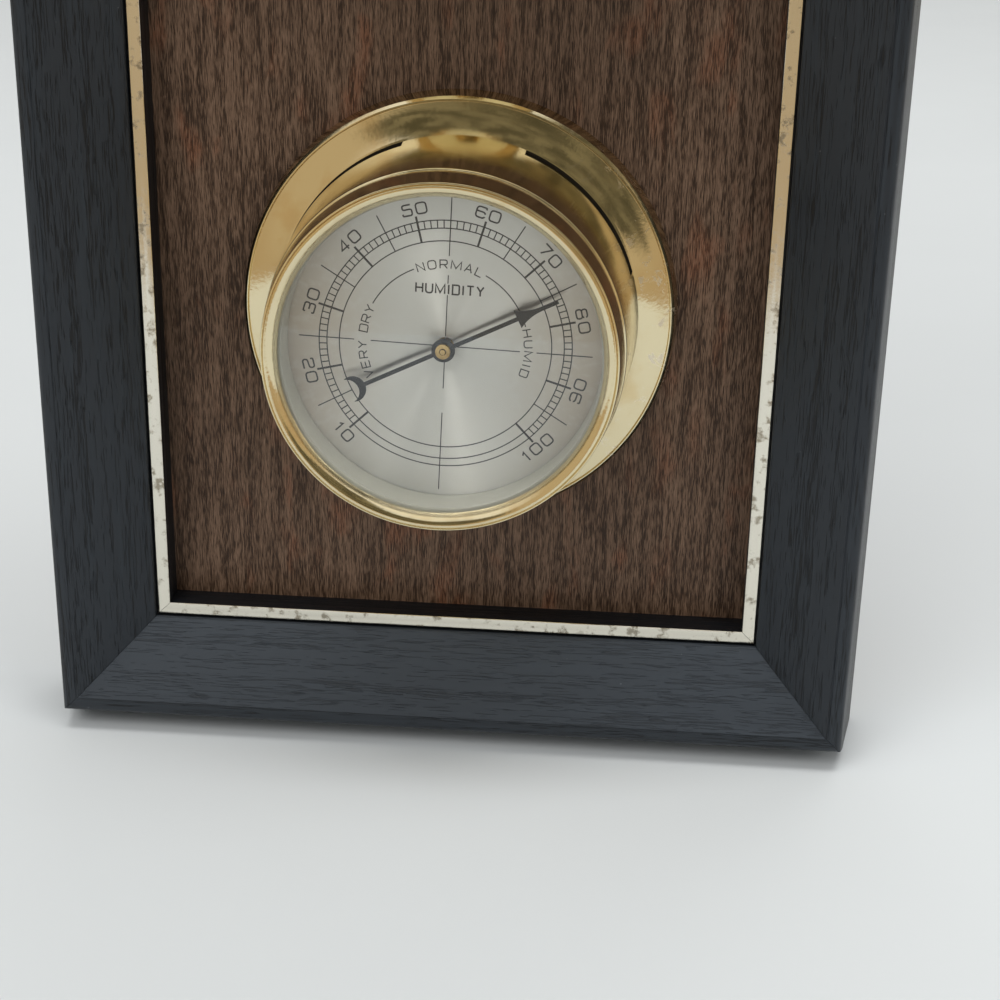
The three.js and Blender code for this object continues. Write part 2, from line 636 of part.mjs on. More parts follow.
/** Outline of a ring's sector about the given middle angle, both in degrees. */
function sector(inner, outer, middle, arc, steps = SLOT_SEGMENTS) {
  const angles = Array.from({ length: steps + 1 }, (_, i) => rad(middle + arc * (i / steps - 0.5)));
  const at = (radius) => (angle) => [radius * Math.cos(angle), radius * Math.sin(angle)];
  return [...angles.map(at(outer)), ...angles.reverse().map(at(inner))];
}

/** Sleeve over the neck with a rounded crest, a groove, a bead and a bevel down to the lens. */
function bezel() {
  const rearR = SLEEVE_R + BEZEL_WALL + BEZEL_TAPER / 3;
  const crestR = SLEEVE_R + BEZEL_WALL - BEZEL_TAPER;
  const under = LENS_FRONT + SEAT_GAP;
  return ring([
    [rearR - BEZEL_ROUND / 2, BEZEL_REAR],
    [rearR, BEZEL_REAR + BEZEL_ROUND],
    [crestR, BEZEL_CREST - BEZEL_ROUND],
    [crestR - BEZEL_ROUND / 2, BEZEL_CREST],
    [crestR - BEZEL_ROUND / 2 - BEZEL_BEAD, BEZEL_CREST],
    [crestR - BEZEL_ROUND - BEZEL_BEAD / 2, BEZEL_CREST - BEZEL_GROOVE],
    [crestR - BEZEL_ROUND - BEZEL_BEAD, BEZEL_CREST - BEZEL_GROOVE / 3],
    [crestR - BEZEL_ROUND - 2 * BEZEL_BEAD, BEZEL_CREST - BEZEL_GROOVE],
    [BEZEL_LIP_R, under + BEZEL_LIP],
    [BEZEL_LIP_R, under],
    [SLEEVE_R, under],
    [SLEEVE_R, BEZEL_REAR],
  ]);
}

/** Slightly crowned lens; the barometer's is bored for the set knob's shaft. */
function lens(boreR) {
  const rim = NECK_R - SEAT_GAP;
  const crownR = BEZEL_LIP_R - LENS_LAND;
  const crown = LENS_FRONT - SEAT_GAP / 2;
  if (boreR === 0) {
    return turned([[0, LENS_BACK], [rim, LENS_BACK], [rim, crown], [crownR, crown], [0, crown + LENS_CROWN]]);
  }
  const inner = [[boreR, LENS_BACK], [rim, LENS_BACK], [rim, crown], [crownR, crown]];
  return ring([...inner, [boreR, crown + LENS_CROWN]]);
}

function spacerRing() {
  const from = DIAL_FACE + SEAT_GAP;
  const to = LENS_BACK - SEAT_GAP;
  const bore = SPACER_R - SPACER_WALL;
  return ring([[bore, from], [SPACER_R, from], [SPACER_R, to], [bore, to]]);
}

function dialPlate() {
  return slab(discOutline(SPACER_R), DIAL_BACK, DIAL_FACE, [hole(0, 0, DIAL_HOLE_R, 12)]);
}

/** Disc that closes the drum from inside, with the two riveted posts that carry the dial. */
function backPlate(centreHoleR) {
  const disc = slab(discOutline(PLATE_R), PLATE_BACK, PLATE_FRONT, [hole(0, 0, centreHoleR)]);
  const posts = [-1, 1].map((way) => rod(POST_R, PLATE_BACK + SEAT_GAP, DIAL_BACK - SEAT_GAP, 6)
    .translate(0, way * POST_REACH, 0));
  const bores = [-1, 1].map((way) => drill(SCREW_R + RUN_GAP, 0, SCREW_BITE + OVERCUT)
    .translate(0, way * POST_REACH, 0));
  return cut(join(disc, ...posts), ...bores);
}

/** Pan-head screw from behind the panel into a post. */
function mountingScrew() {
  const head = -PANEL_THICKNESS - SEAT_GAP;
  return turned([
    [0, head - SCREW_HEAD],
    [SCREW_HEAD_R * SCREW_FLAT, head - SCREW_HEAD],
    [SCREW_HEAD_R, head - SCREW_HEAD / 2],
    [SCREW_HEAD_R, head],
    [SCREW_R, head],
    [SCREW_R, SCREW_BITE],
    [0, SCREW_BITE],
  ], 8);
}

/** Arrow pointer with a crescent tail, drawn pointing up the dial. */
function pointerOutline() {
  const shaft = POINTER_SHAFT / 2;
  const barb = BARB_WIDTH / 2;
  const hubJoin = Math.sqrt(POINTER_HUB_R ** 2 - shaft ** 2);
  const hubAngle = Math.atan2(hubJoin, shaft);
  const shift = (CRESCENT_R - CRESCENT_THICKNESS / 2) * CRESCENT_OPENING_SHARE;
  const hollowR = CRESCENT_R + shift - CRESCENT_THICKNESS;
  const along = (CRESCENT_R ** 2 + shift ** 2 - hollowR ** 2) / (2 * shift);
  const hornAngle = Math.acos(along / CRESCENT_R);
  const hornInner = Math.atan2(CRESCENT_R * Math.sin(hornAngle), along - shift);
  const tailJoin = Math.asin(shaft / CRESCENT_R);
  const top = Math.PI / 2;
  const neck = BARB_RADIUS + BARB_LENGTH;
  const bend = BARB_RADIUS + BARB_LENGTH * BARB_CURVE_SHARE;
  const shape = new THREE.Shape();
  shape.moveTo(shaft, hubJoin);
  shape.lineTo(shaft, BARB_RADIUS);
  shape.lineTo(barb, BARB_RADIUS);
  shape.quadraticCurveTo(shaft * BARB_NECK_RATIO, bend, shaft, neck);
  shape.lineTo(shaft, POINTER_TIP);
  shape.lineTo(-shaft, POINTER_TIP);
  shape.lineTo(-shaft, neck);
  shape.quadraticCurveTo(-shaft * BARB_NECK_RATIO, bend, -barb, BARB_RADIUS);
  shape.lineTo(-shaft, BARB_RADIUS);
  shape.lineTo(-shaft, hubJoin);
  shape.absarc(0, 0, POINTER_HUB_R, Math.PI - hubAngle, Math.PI + hubAngle, false);
  shape.absarc(0, -CRESCENT_REACH, CRESCENT_R, top + tailJoin, top + Math.PI - hornAngle, false);
  shape.absarc(0, -CRESCENT_REACH - shift, hollowR, top + Math.PI - hornInner, hornInner - top, true);
  shape.absarc(0, -CRESCENT_REACH, CRESCENT_R, hornAngle - top, top - tailJoin, false);
  shape.absarc(0, 0, POINTER_HUB_R, -hubAngle, hubAngle, false);
  return shape;
}

/** Blade with its riveted bush, bored for the arbor. */
function pointer() {
  const blade = slab(pointerOutline(), POINTER_FACE - POINTER_THICKNESS, POINTER_FACE);
  const bush = rod(BUSH_R, POINTER_FACE + BUSH_COLLAR - BUSH_LENGTH, POINTER_FACE + BUSH_COLLAR, 12);
  const bore = drill(ARBOR_R + RUN_GAP, POINTER_FACE - BUSH_LENGTH, POINTER_FACE + BUSH_LENGTH);
  return cut(join(blade, bush), bore);
}

/** Strip wound in a flat spiral, one unbroken body; prints the least gap between its turns. */
function spiral({ label, innerR, pitch, turns, strip, width, from, start = 0 }) {
  const count = Math.round(turns * COIL_STEPS);
  const corners = [];
  for (let i = 0; i <= count; i++) {
    const angle = start + (2 * Math.PI * i) / COIL_STEPS;
    const radius = innerR + (pitch * i) / COIL_STEPS;
    for (const [side, level] of [[-1, 0], [1, 0], [1, 1], [-1, 1]]) {
      const r = radius + (side * strip) / 2;
      corners.push(r * Math.cos(angle), r * Math.sin(angle), from + level * width);
    }
  }
  const faces = [0, 2, 1, 0, 3, 2];
  for (let i = 0; i < count; i++) {
    for (let k = 0; k < 4; k++) {
      const a = 4 * i + k;
      const b = 4 * i + ((k + 1) % 4);
      faces.push(a, b, b + 4, a, b + 4, a + 4);
    }
  }
  const last = 4 * count;
  faces.push(last, last + 1, last + 2, last, last + 2, last + 3);
  const geometry = new THREE.BufferGeometry();
  geometry.setAttribute('position', new THREE.Float32BufferAttribute(corners, 3));
  geometry.setIndex(faces);
  console.log(`${label}: least gap between turns ${leastTurnGap(corners, count).toFixed(2)} mm`);
  return closed(geometry);
}

/** Least distance between the outer edge of one turn and the inner edge of the next, on the corners. */
function leastTurnGap(corners, count) {
  const edge = (step, side) => [corners[12 * step + 3 * side], corners[12 * step + 3 * side + 1]];
  let least = Infinity;
  for (let i = 0; i <= count; i++) {
    for (let j = i + COIL_STEPS / 2; j < count; j++) {
      const [px, py] = edge(i, 1);
      const [ax, ay] = edge(j, 0);
      const [bx, by] = edge(j + 1, 0);
      const length = (bx - ax) ** 2 + (by - ay) ** 2;
      const t = Math.min(1, Math.max(0, ((px - ax) * (bx - ax) + (py - ay) * (by - ay)) / length));
      least = Math.min(least, Math.hypot(ax + t * (bx - ax) - px, ay + t * (by - ay) - py));
    }
  }
  return least;
}

/** The pieces that all three instruments have. */
function instrumentShell(group, name, lensBore, plateHole) {
  place(group, `${name}_case`, caseShell(), BRASS);
  place(group, `${name}_bezel`, bezel(), BRASS);
  place(group, `${name}_lens`, lens(lensBore), GLASS);
  place(group, `${name}_spacer_ring`, spacerRing(), SILVERED);
  place(group, `${name}_dial_plate`, dialPlate(), BRUSHED_DIAL);
  place(group, `${name}_back_plate`, backPlate(plateHole), ROUGH_BRASS);
  [['top', 1], ['bottom', -1]].forEach(([end, way]) => {
    place(group, `${name}_screw_${end}`, mountingScrew(), STEEL).position.y = way * POST_REACH;
  });
}

/** Arbor and pointer, turned clockwise to the reading. */
function pointerSet(group, name, arbor, reading) {
  const turning = new THREE.Group();
  turning.rotation.z = -rad(reading);
  group.add(turning);
  place(turning, `${name}_arbor`, arbor, STEEL);
  place(turning, `${name}_pointer`, pointer(), BLACK);
}

// Thermometer and hygrometer

function coilArbor(stripWidth) {
  const from = PLATE_BACK;
  const collet = [COIL_FROM - COLLET_OVERHANG, COIL_FROM + stripWidth + COLLET_OVERHANG];
  return turned([
    [0, from],
    [ARBOR_R, from],
    [ARBOR_R, collet[0]],
    [COLLET_R, collet[0]],
    [COLLET_R, collet[1]],
    [ARBOR_R, collet[1]],
    [ARBOR_R, ARBOR_END],
    [0, ARBOR_END],
  ], 8);
}

/** Strap bent over the coil, with the arbor's front bearing in its crossbar. */
function bridge() {
  const t = BRIDGE_STRIP;
  const leg = COIL_END_R + BRIDGE_ROOM + t;
  const half = leg + BRIDGE_FOOT;
  const from = PLATE_FRONT + SEAT_GAP;
  const outline = [
    [-half, from],
    [-leg + t, from],
    [-leg + t, BRIDGE_HEIGHT - t],
    [leg - t, BRIDGE_HEIGHT - t],
    [leg - t, from],
    [half, from],
    [half, from + t],
    [leg, from + t],
    [leg, BRIDGE_HEIGHT],
    [-leg, BRIDGE_HEIGHT],
    [-leg, from + t],
    [-half, from + t],
  ];
  const strap = slab(outline, -BRIDGE_WIDTH / 2, BRIDGE_WIDTH / 2).rotateX(Math.PI / 2).rotateZ(Math.PI / 2);
  return cut(strap, drill(ARBOR_R + RUN_GAP, BRIDGE_HEIGHT - 2 * t, BRIDGE_HEIGHT + t));
}

/** Bent foot and upright that hold the coil's outer end. */
function coilAnchor(stripWidth) {
  const from = PLATE_FRONT + SEAT_GAP;
  const to = COIL_FROM + stripWidth + ANCHOR_RISE;
  const inner = COIL_END_R + COIL_STRIP / 2 + SLIP_GAP;
  const outline = [
    [inner, from],
    [inner + ANCHOR_FOOT, from],
    [inner + ANCHOR_FOOT, from + ANCHOR_STRIP],
    [inner + ANCHOR_STRIP, from + ANCHOR_STRIP],
    [inner + ANCHOR_STRIP, to],
    [inner, to],
  ];
  return slab(outline, -ANCHOR_WIDTH / 2, ANCHOR_WIDTH / 2).rotateX(Math.PI / 2);
}

function coilInstrument(group, name, stripWidth, material, reading) {
  instrumentShell(group, name, 0, ARBOR_R + RUN_GAP);
  pointerSet(group, name, coilArbor(stripWidth), reading);
  const coil = spiral({
    label: `${name}_coil`,
    innerR: COIL_INNER_R,
    pitch: COIL_PITCH,
    turns: COIL_TURNS,
    strip: COIL_STRIP,
    width: stripWidth,
    from: COIL_FROM,
  });
  place(group, `${name}_coil`, coil, material);
  place(group, `${name}_coil_anchor`, coilAnchor(stripWidth), ROUGH_BRASS);
  place(group, `${name}_bridge`, bridge(), ROUGH_BRASS);
}

// Barometer

/** Aneroid capsule: two rippled diaphragms, a stem at the back and a nose that the lift arm feels. */
function capsule() {
  const back = CAPSULE_FROM;
  const front = CAPSULE_FROM + CAPSULE_DEPTH;
  const middle = (back + front) / 2;
  const rippled = CAPSULE_R - CAPSULE_STEM_R - 2 * CAPSULE_FLAT;
  const ripple = (from, way) => Array.from({ length: 2 * CAPSULE_RIPPLES + 1 }, (_, i) => {
    const radius = CAPSULE_STEM_R + CAPSULE_FLAT + (rippled * i) / (2 * CAPSULE_RIPPLES);
    return [radius, from + (i % 2 ? way * CAPSULE_RIPPLE : 0)];
  });
  return turned([
    [0, PLATE_FRONT + SEAT_GAP],
    [CAPSULE_STEM_R, PLATE_FRONT + SEAT_GAP],
    [CAPSULE_STEM_R, back],
    ...ripple(back, 1),
    [CAPSULE_R, middle - CAPSULE_SEAM / 2],
    [CAPSULE_R, middle + CAPSULE_SEAM / 2],
    ...ripple(front, -1).reverse(),
    [CAPSULE_STEM_R, front],
    [CAPSULE_NOSE_R, front + CAPSULE_SHOULDER],
    [CAPSULE_NOSE_R, CAPSULE_NOSE],
    [0, CAPSULE_NOSE],
  ], FINE_SEGMENTS);
}

/** Outline that keeps a constant pad of metal round a convex row of points, listed counter-clockwise. */
function padded(points, pad) {
  const shape = new THREE.Shape();
  points.forEach(([x, y], i) => {
    const [px, py] = points[(i + points.length - 1) % points.length];
    const [nx, ny] = points[(i + 1) % points.length];
    const from = Math.atan2(y - py, x - px) - Math.PI / 2;
    const to = Math.atan2(ny - y, nx - x) - Math.PI / 2;
    shape.absarc(x, y, pad, from, to < from ? to + 2 * Math.PI : to, false);
  });
  return shape;
}

const PILLARS = [[-PILLAR_LEFT, 0], [PILLAR_RIGHT, -PILLAR_DROP], [PILLAR_RIGHT, PILLAR_RISE]];

/** Both plates: metal round the three pillars and out to the sector's pivot. */
function plateOutline() {
  const [left, low, high] = PILLARS;
  const x = SECTOR_X + SECTOR_MARGIN;
  const bulge = [[x, ROCKER_Y - SECTOR_SHOULDER], [x, ROCKER_Y + SECTOR_SHOULDER]];
  return padded([left, low, ...bulge, high], PLATE_PAD);
}

/** Plate behind the gears: pivot holes, pillars, the rocker's ears and a window for its drive arm. */
function rearMovementPlate() {
  const inside = REAR_PLATE + MOVEMENT_PLATE / 2;
  const halfSwing = ROCKER_R + WINDOW_ROOM;
  const halfArm = DRIVE_PIN_R + WINDOW_ROOM / 2;
  const window = polygon([
    [DRIVE_X - halfArm, ROCKER_Y - halfSwing],
    [DRIVE_X + halfArm, ROCKER_Y - halfSwing],
    [DRIVE_X + halfArm, ROCKER_Y + halfSwing],
    [DRIVE_X - halfArm, ROCKER_Y + halfSwing],
  ]);
  const pivots = [hole(0, 0, PIVOT_R + RUN_GAP), hole(SECTOR_X, ROCKER_Y, PIVOT_R + RUN_GAP)];
  const openings = [...pivots, new THREE.Path(window.getPoints())];
  const plate = slab(plateOutline(), REAR_PLATE, REAR_PLATE + MOVEMENT_PLATE, openings);
  const pillars = PILLARS.map(([x, y]) =>
    rod(PILLAR_R, PLATE_FRONT + SEAT_GAP, FRONT_PLATE - SEAT_GAP).translate(x, y, 0));
  const ears = earPlaces().map((x) => block(
    [x - EAR_WIDTH / 2, x + EAR_WIDTH / 2],
    [ROCKER_Y - EAR_HALF_HEIGHT, ROCKER_Y + EAR_HALF_HEIGHT],
    [ROCKER_DEPTH - EAR_HALF_HEIGHT, inside],
  ));
  const [first, second] = earPlaces();
  const bore = drill(ROCKER_R + RUN_GAP, first - EAR_WIDTH, second + EAR_WIDTH).rotateY(Math.PI / 2);
  return cut(join(plate, ...pillars, ...ears), bore.translate(0, ROCKER_Y, ROCKER_DEPTH));
}

const earPlaces = () => [-LIFT_ARM_WIDTH / 2 - SLIP_GAP - EAR_WIDTH / 2, SECTOR_X - FORK_RADIUS];

/** Plate in front of the gears, with the stud that holds the hairspring's outer end. */
function frontMovementPlate() {
  const pivots = [hole(0, 0, ARBOR_R + RUN_GAP), hole(SECTOR_X, ROCKER_Y, PIVOT_R + RUN_GAP)];
  const plate = slab(plateOutline(), FRONT_PLATE, FRONT_PLATE + MOVEMENT_PLATE, pivots);
  const end = HAIRSPRING_INNER_R + HAIRSPRING_PITCH * HAIRSPRING_TURNS + HAIRSPRING_STRIP / 2 + SLIP_GAP;
  const stud = block(
    [-end - STUD_THICKNESS, -end],
    [-STUD_WIDTH / 2, STUD_WIDTH / 2],
    [HAIRSPRING_FROM, FRONT_PLATE + MOVEMENT_PLATE / 2],
  );
  return join(plate, stud);
}

const involute = (angle) => Math.tan(angle) - angle;

/** Points of one involute tooth about the angle 0, from the root on one side to the root on the other. */
function tooth(teeth, steps = 2) {
  const pitchR = (GEAR_MODULE * teeth) / 2;
  const baseR = pitchR * Math.cos(rad(PRESSURE_ANGLE));
  const tipR = pitchR + GEAR_MODULE;
  const rootR = pitchR - GEAR_ROOT * GEAR_MODULE;
  const halfAtPitch = Math.PI / (2 * teeth) - GEAR_BACKLASH / pitchR;
  const halfAt = (radius) => {
    const pressure = Math.acos(Math.min(1, baseR / radius));
    return halfAtPitch + involute(rad(PRESSURE_ANGLE)) - involute(pressure);
  };
  const start = Math.max(baseR, rootR);
  const flank = Array.from({ length: steps + 1 }, (_, i) => start + ((tipR - start) * i) / steps);
  const radii = rootR < start ? [rootR, ...flank] : flank;
  const side = radii.map((radius) => [radius, halfAt(radius)]);
  return [...side.map(([radius, half]) => [radius, -half]), ...side.reverse()];
}

const polar = (radius, angle) => [radius * Math.cos(angle), radius * Math.sin(angle)];

/** Pinion cut on the barometer's arbor. A gap faces the sector when the pointer is at the top. */
function pinionArbor(meshAngle) {
  const outline = Array.from({ length: PINION_TEETH }, (_, i) => {
    const middle = meshAngle + (2 * Math.PI * (i + 0.5)) / PINION_TEETH;
    return tooth(PINION_TEETH).map(([radius, angle]) => polar(radius, middle + angle));
  }).flat();
  const middle = SECTOR_FROM + GEAR_THICKNESS / 2;
  const pinion = slab(outline, middle - PINION_WIDTH / 2, middle + PINION_WIDTH / 2);
  const colletR = HAIRSPRING_INNER_R - HAIRSPRING_STRIP / 2 - SLIP_GAP;
  const colletFrom = HAIRSPRING_FROM - COLLET_OVERHANG;
  const colletTo = HAIRSPRING_FROM + HAIRSPRING_WIDTH + COLLET_OVERHANG;
  const arbor = turned([
    [0, REAR_PLATE + SEAT_GAP],
    [PIVOT_R, REAR_PLATE + SEAT_GAP],
    [PIVOT_R, REAR_PLATE + MOVEMENT_PLATE + SEAT_GAP],
    [ARBOR_R, REAR_PLATE + MOVEMENT_PLATE + SEAT_GAP],
    [ARBOR_R, colletFrom],
    [colletR, colletFrom],
    [colletR, colletTo],
    [ARBOR_R, colletTo],
    [ARBOR_R, ARBOR_END],
    [0, ARBOR_END],
  ], 8);
  return join(arbor, pinion);
}

/** Toothed sector about its own pivot, drawn with its middle tooth along +X and its fork along -X. */
function sectorGear(meshAngle) {
  const wheelTeeth = PINION_TEETH * SECTOR_RATIO;
  const back = SECTOR_FROM;
  const front = SECTOR_FROM + GEAR_THICKNESS;
  const step = (2 * Math.PI) / wheelTeeth;
  const teeth = Array.from({ length: SECTOR_TEETH }, (_, i) => {
    const middle = (i - (SECTOR_TEETH - 1) / 2) * step;
    return tooth(wheelTeeth).map(([radius, angle]) => polar(radius, middle + angle));
  }).flat();
  const rimR = SECTOR_R - GEAR_ROOT * GEAR_MODULE - SECTOR_RIM;
  const half = (SECTOR_TEETH / 2) * step;
  const inside = Array.from({ length: RIM_STEPS + 1 }, (_, i) =>
    polar(rimR, half - (2 * half * i) / RIM_STEPS));
  const arms = [-1, 1].map((way) => {
    const arm = block([0, rimR + SECTOR_RIM / 2], [-SECTOR_ARM / 2, SECTOR_ARM / 2], [back, front]);
    return arm.rotateZ(way * half * ARM_SPREAD);
  });
  const rim = slab([...teeth, ...inside], back, front);
  const hub = turned([
    [0, REAR_PLATE + SEAT_GAP],
    [PIVOT_R, REAR_PLATE + SEAT_GAP],
    [PIVOT_R, back - SECTOR_HUB_RISE],
    [SECTOR_HUB_R, back - SECTOR_HUB_RISE],
    [SECTOR_HUB_R, front + SECTOR_HUB_RISE],
    [PIVOT_R, front + SECTOR_HUB_RISE],
    [PIVOT_R, FRONT_PLATE + MOVEMENT_PLATE - SEAT_GAP],
    [0, FRONT_PLATE + MOVEMENT_PLATE - SEAT_GAP],
  ], 10);
  const reach = FORK_RADIUS + FORK_REACH;
  const wing = FORK_WIDTH / 2;
  const tail = block([0, reach], [-wing, wing], [back, front]);
  const mouth = FORK_SLOT / 2;
  const from = FORK_RADIUS - DRIVE_PIN_R - SLIP_GAP;
  const slot = block([from, reach + OVERCUT], [-mouth, mouth], [back - 2 * OVERCUT, front + 2 * OVERCUT]);
  const gear = join(rim, ...arms).rotateZ(Math.PI + meshAngle);
  return cut(join(gear, hub, tail), slot);
}

/** Rocker shaft with the arm that feels the capsule and the arm that drives the sector's fork. */
function rockerShaft() {
  const [firstEar] = earPlaces();
  const shaftFrom = firstEar - EAR_WIDTH / 2 - ROCKER_STUB;
  const shaft = rod(ROCKER_R, shaftFrom, DRIVE_X + ROCKER_R).rotateY(Math.PI / 2);
  const armFrom = CAPSULE_NOSE + LIFT_CLEARANCE - ROCKER_DEPTH;
  const half = LIFT_ARM_WIDTH / 2;
  const armTo = armFrom + LIFT_ARM_THICKNESS;
  const lift = block([-half, half], [-ROCKER_Y - LIFT_ARM_OVERHANG, ROCKER_R / 2], [armFrom, armTo]);
  const drive = rod(DRIVE_PIN_R, 0, SECTOR_FROM + GEAR_THICKNESS + DRIVE_PIN_RISE - ROCKER_DEPTH);
  return join(shaft, lift, drive.translate(DRIVE_X, 0, 0));
}

/** Thin hand with a round hub and a widening tail, drawn pointing up the dial. */
function setHand() {
  const outline = [
    [SET_HAND_ROOT_WIDTH / 2, 0],
    [SET_HAND_TIP_WIDTH / 2, SET_HAND_TIP],
    [-SET_HAND_TIP_WIDTH / 2, SET_HAND_TIP],
    [-SET_HAND_ROOT_WIDTH / 2, 0],
    [-SET_HAND_TAIL_WIDTH / 2, -SET_HAND_TAIL],
    [SET_HAND_TAIL_WIDTH / 2, -SET_HAND_TAIL],
  ];
  const blade = slab(outline, SET_HAND_DEPTH, SET_HAND_DEPTH + SET_HAND_THICKNESS);
  const from = SET_HAND_DEPTH - SET_HUB_OVERHANG;
  const to = from + SET_HAND_HUB;
  const hub = rod(SET_HAND_HUB_R, from, to, 16);
  const bore = drill(SET_SHAFT_R + RUN_GAP, from - OVERCUT, to + OVERCUT, 12);
  return cut(join(blade, hub), bore);
}

/** Knob in front of the lens; its shaft goes through the lens into the set hand's hub. */
function setKnob() {
  const from = LENS_FRONT + LENS_CROWN + SEAT_GAP;
  const top = from + KNOB_HEIGHT;
  return turned([
    [0, SET_HAND_DEPTH - SET_HUB_OVERHANG],
    [SET_SHAFT_R, SET_HAND_DEPTH - SET_HUB_OVERHANG],
    [SET_SHAFT_R, from],
    [KNOB_NECK_R, from],
    [KNOB_NECK_R, from + KNOB_NECK],
    [KNOB_R, from + KNOB_NECK + KNOB_BEVEL],
    [KNOB_R, top - KNOB_BEVEL],
    [KNOB_R - KNOB_BEVEL, top],
    [0, top],
  ], FINE_SEGMENTS);
}

function barometer(group) {
  const name = 'barometer';
  const meshAngle = Math.atan2(ROCKER_Y, SECTOR_X);
  instrumentShell(group, name, SET_SHAFT_R + RUN_GAP, ADJUSTING_HOLE_R);
  pointerSet(group, name, pinionArbor(meshAngle), BAROMETER_REST);
  place(group, 'barometer_capsule', capsule(), COPPER);
  place(group, 'barometer_rear_plate', rearMovementPlate(), ROUGH_BRASS);
  place(group, 'barometer_front_plate', frontMovementPlate(), ROUGH_BRASS);
  const sectorTurn = rad(BAROMETER_REST) / SECTOR_RATIO;
  const sectorMesh = place(group, 'barometer_sector_gear', sectorGear(meshAngle), BRASS);
  sectorMesh.position.set(SECTOR_X, ROCKER_Y, 0);
  sectorMesh.rotation.z = sectorTurn;
  const rocker = place(group, 'barometer_rocker', rockerShaft(), STEEL);
  rocker.position.set(0, ROCKER_Y, ROCKER_DEPTH);
  rocker.rotation.x = -sectorTurn * ROCKER_RATIO;
  const hairspring = spiral({
    label: 'barometer_hairspring',
    innerR: HAIRSPRING_INNER_R,
    pitch: HAIRSPRING_PITCH,
    turns: HAIRSPRING_TURNS,
    strip: HAIRSPRING_STRIP,
    width: HAIRSPRING_WIDTH,
    from: HAIRSPRING_FROM,
    start: Math.PI,
  });
  place(group, 'barometer_hairspring', hairspring, STEEL);
  const setting = new THREE.Group();
  setting.rotation.z = -rad(SET_HAND_REST);
  group.add(setting);
  place(setting, 'barometer_set_hand', setHand(), BRASS);
  place(setting, 'barometer_set_knob', setKnob(), BRASS);
}

// Assembly

/** A group whose local Z axis comes forward out of the panel at the given height. */
function instrumentGroup(height, lean = 0) {
  const seat = new THREE.Group();
  seat.position.set(0, -PANEL_FACE, height);
  seat.rotation.x = Math.PI / 2;
  const instrument = new THREE.Group();
  instrument.rotation.z = -rad(lean);
  seat.add(instrument);
  return { seat, instrument, height, lean };
}

const group = new THREE.Group();
const thermometerSeat = instrumentGroup(FRAME_MIDDLE + DIAL_PITCH);
const barometerSeat = instrumentGroup(FRAME_MIDDLE);
const hygrometerSeat = instrumentGroup(FRAME_MIDDLE - DIAL_PITCH, HYGROMETER_LEAN);
const seats = [thermometerSeat, barometerSeat, hygrometerSeat];

frame(group, hangerProngs(RUN_GAP));
panel(group, seats);
hanger(group);
bumpers(group);
coilInstrument(thermometerSeat.instrument, 'thermometer', THERMOMETER_STRIP_WIDTH, COPPER, THERMOMETER_REST);
barometer(barometerSeat.instrument);
coilInstrument(hygrometerSeat.instrument, 'hygrometer', HYGROMETER_STRIP_WIDTH, PAPER_STRIP, HYGROMETER_REST);
seats.forEach(({ seat }) => group.add(seat));

export default group;
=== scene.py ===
"""Three-dial weather station: painted oak frame, metal liner, woodgrain panel and three brass instruments.

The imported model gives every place. Sizes here are millimetres in the local frame of each sub-assembly, and
one placement turns them into the metres of the model. Every surface is a numpy grid: a profile turned round
an axis, a profile carried along a side, or an outline with a thickness.
"""
import json
import logging
import math
from dataclasses import dataclass, field
from enum import Enum
from typing import Any, Optional, Union

import bmesh
import bpy
import numpy as np
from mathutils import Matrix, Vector

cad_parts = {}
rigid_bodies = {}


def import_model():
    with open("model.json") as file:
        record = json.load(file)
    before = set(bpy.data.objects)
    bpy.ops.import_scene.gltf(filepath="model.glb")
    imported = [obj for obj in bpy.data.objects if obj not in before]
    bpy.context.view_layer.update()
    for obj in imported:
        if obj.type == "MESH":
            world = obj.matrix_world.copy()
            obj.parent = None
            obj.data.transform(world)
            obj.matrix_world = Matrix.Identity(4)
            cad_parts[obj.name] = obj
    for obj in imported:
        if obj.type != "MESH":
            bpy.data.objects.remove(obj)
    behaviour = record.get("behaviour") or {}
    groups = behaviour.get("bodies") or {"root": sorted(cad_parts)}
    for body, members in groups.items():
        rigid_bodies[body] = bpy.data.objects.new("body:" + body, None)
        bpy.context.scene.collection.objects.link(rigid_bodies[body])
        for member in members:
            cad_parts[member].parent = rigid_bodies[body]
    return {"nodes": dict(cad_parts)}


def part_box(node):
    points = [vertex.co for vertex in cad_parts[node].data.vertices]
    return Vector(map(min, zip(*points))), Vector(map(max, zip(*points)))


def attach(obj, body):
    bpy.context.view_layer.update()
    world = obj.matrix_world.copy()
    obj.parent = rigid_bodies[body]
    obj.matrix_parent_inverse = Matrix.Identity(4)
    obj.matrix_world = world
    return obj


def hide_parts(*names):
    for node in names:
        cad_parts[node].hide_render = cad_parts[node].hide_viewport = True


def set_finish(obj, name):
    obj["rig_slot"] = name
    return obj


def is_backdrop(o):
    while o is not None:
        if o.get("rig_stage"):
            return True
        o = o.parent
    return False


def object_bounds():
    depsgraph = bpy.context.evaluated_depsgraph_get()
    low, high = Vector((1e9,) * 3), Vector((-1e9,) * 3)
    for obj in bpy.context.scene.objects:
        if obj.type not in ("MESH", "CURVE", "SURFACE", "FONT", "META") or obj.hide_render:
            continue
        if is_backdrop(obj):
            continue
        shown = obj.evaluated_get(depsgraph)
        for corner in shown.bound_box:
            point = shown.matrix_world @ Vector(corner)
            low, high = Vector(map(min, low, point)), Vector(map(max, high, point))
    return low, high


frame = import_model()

Array = np.ndarray
Object = bpy.types.Object
Material = bpy.types.Material
Socket = bpy.types.NodeSocket
ShaderTree = bpy.types.NodeTree
Shader = bpy.types.Node
Mesh = bpy.types.Mesh
Signal = Union[Shader, Socket]
Pair = tuple[float, float]
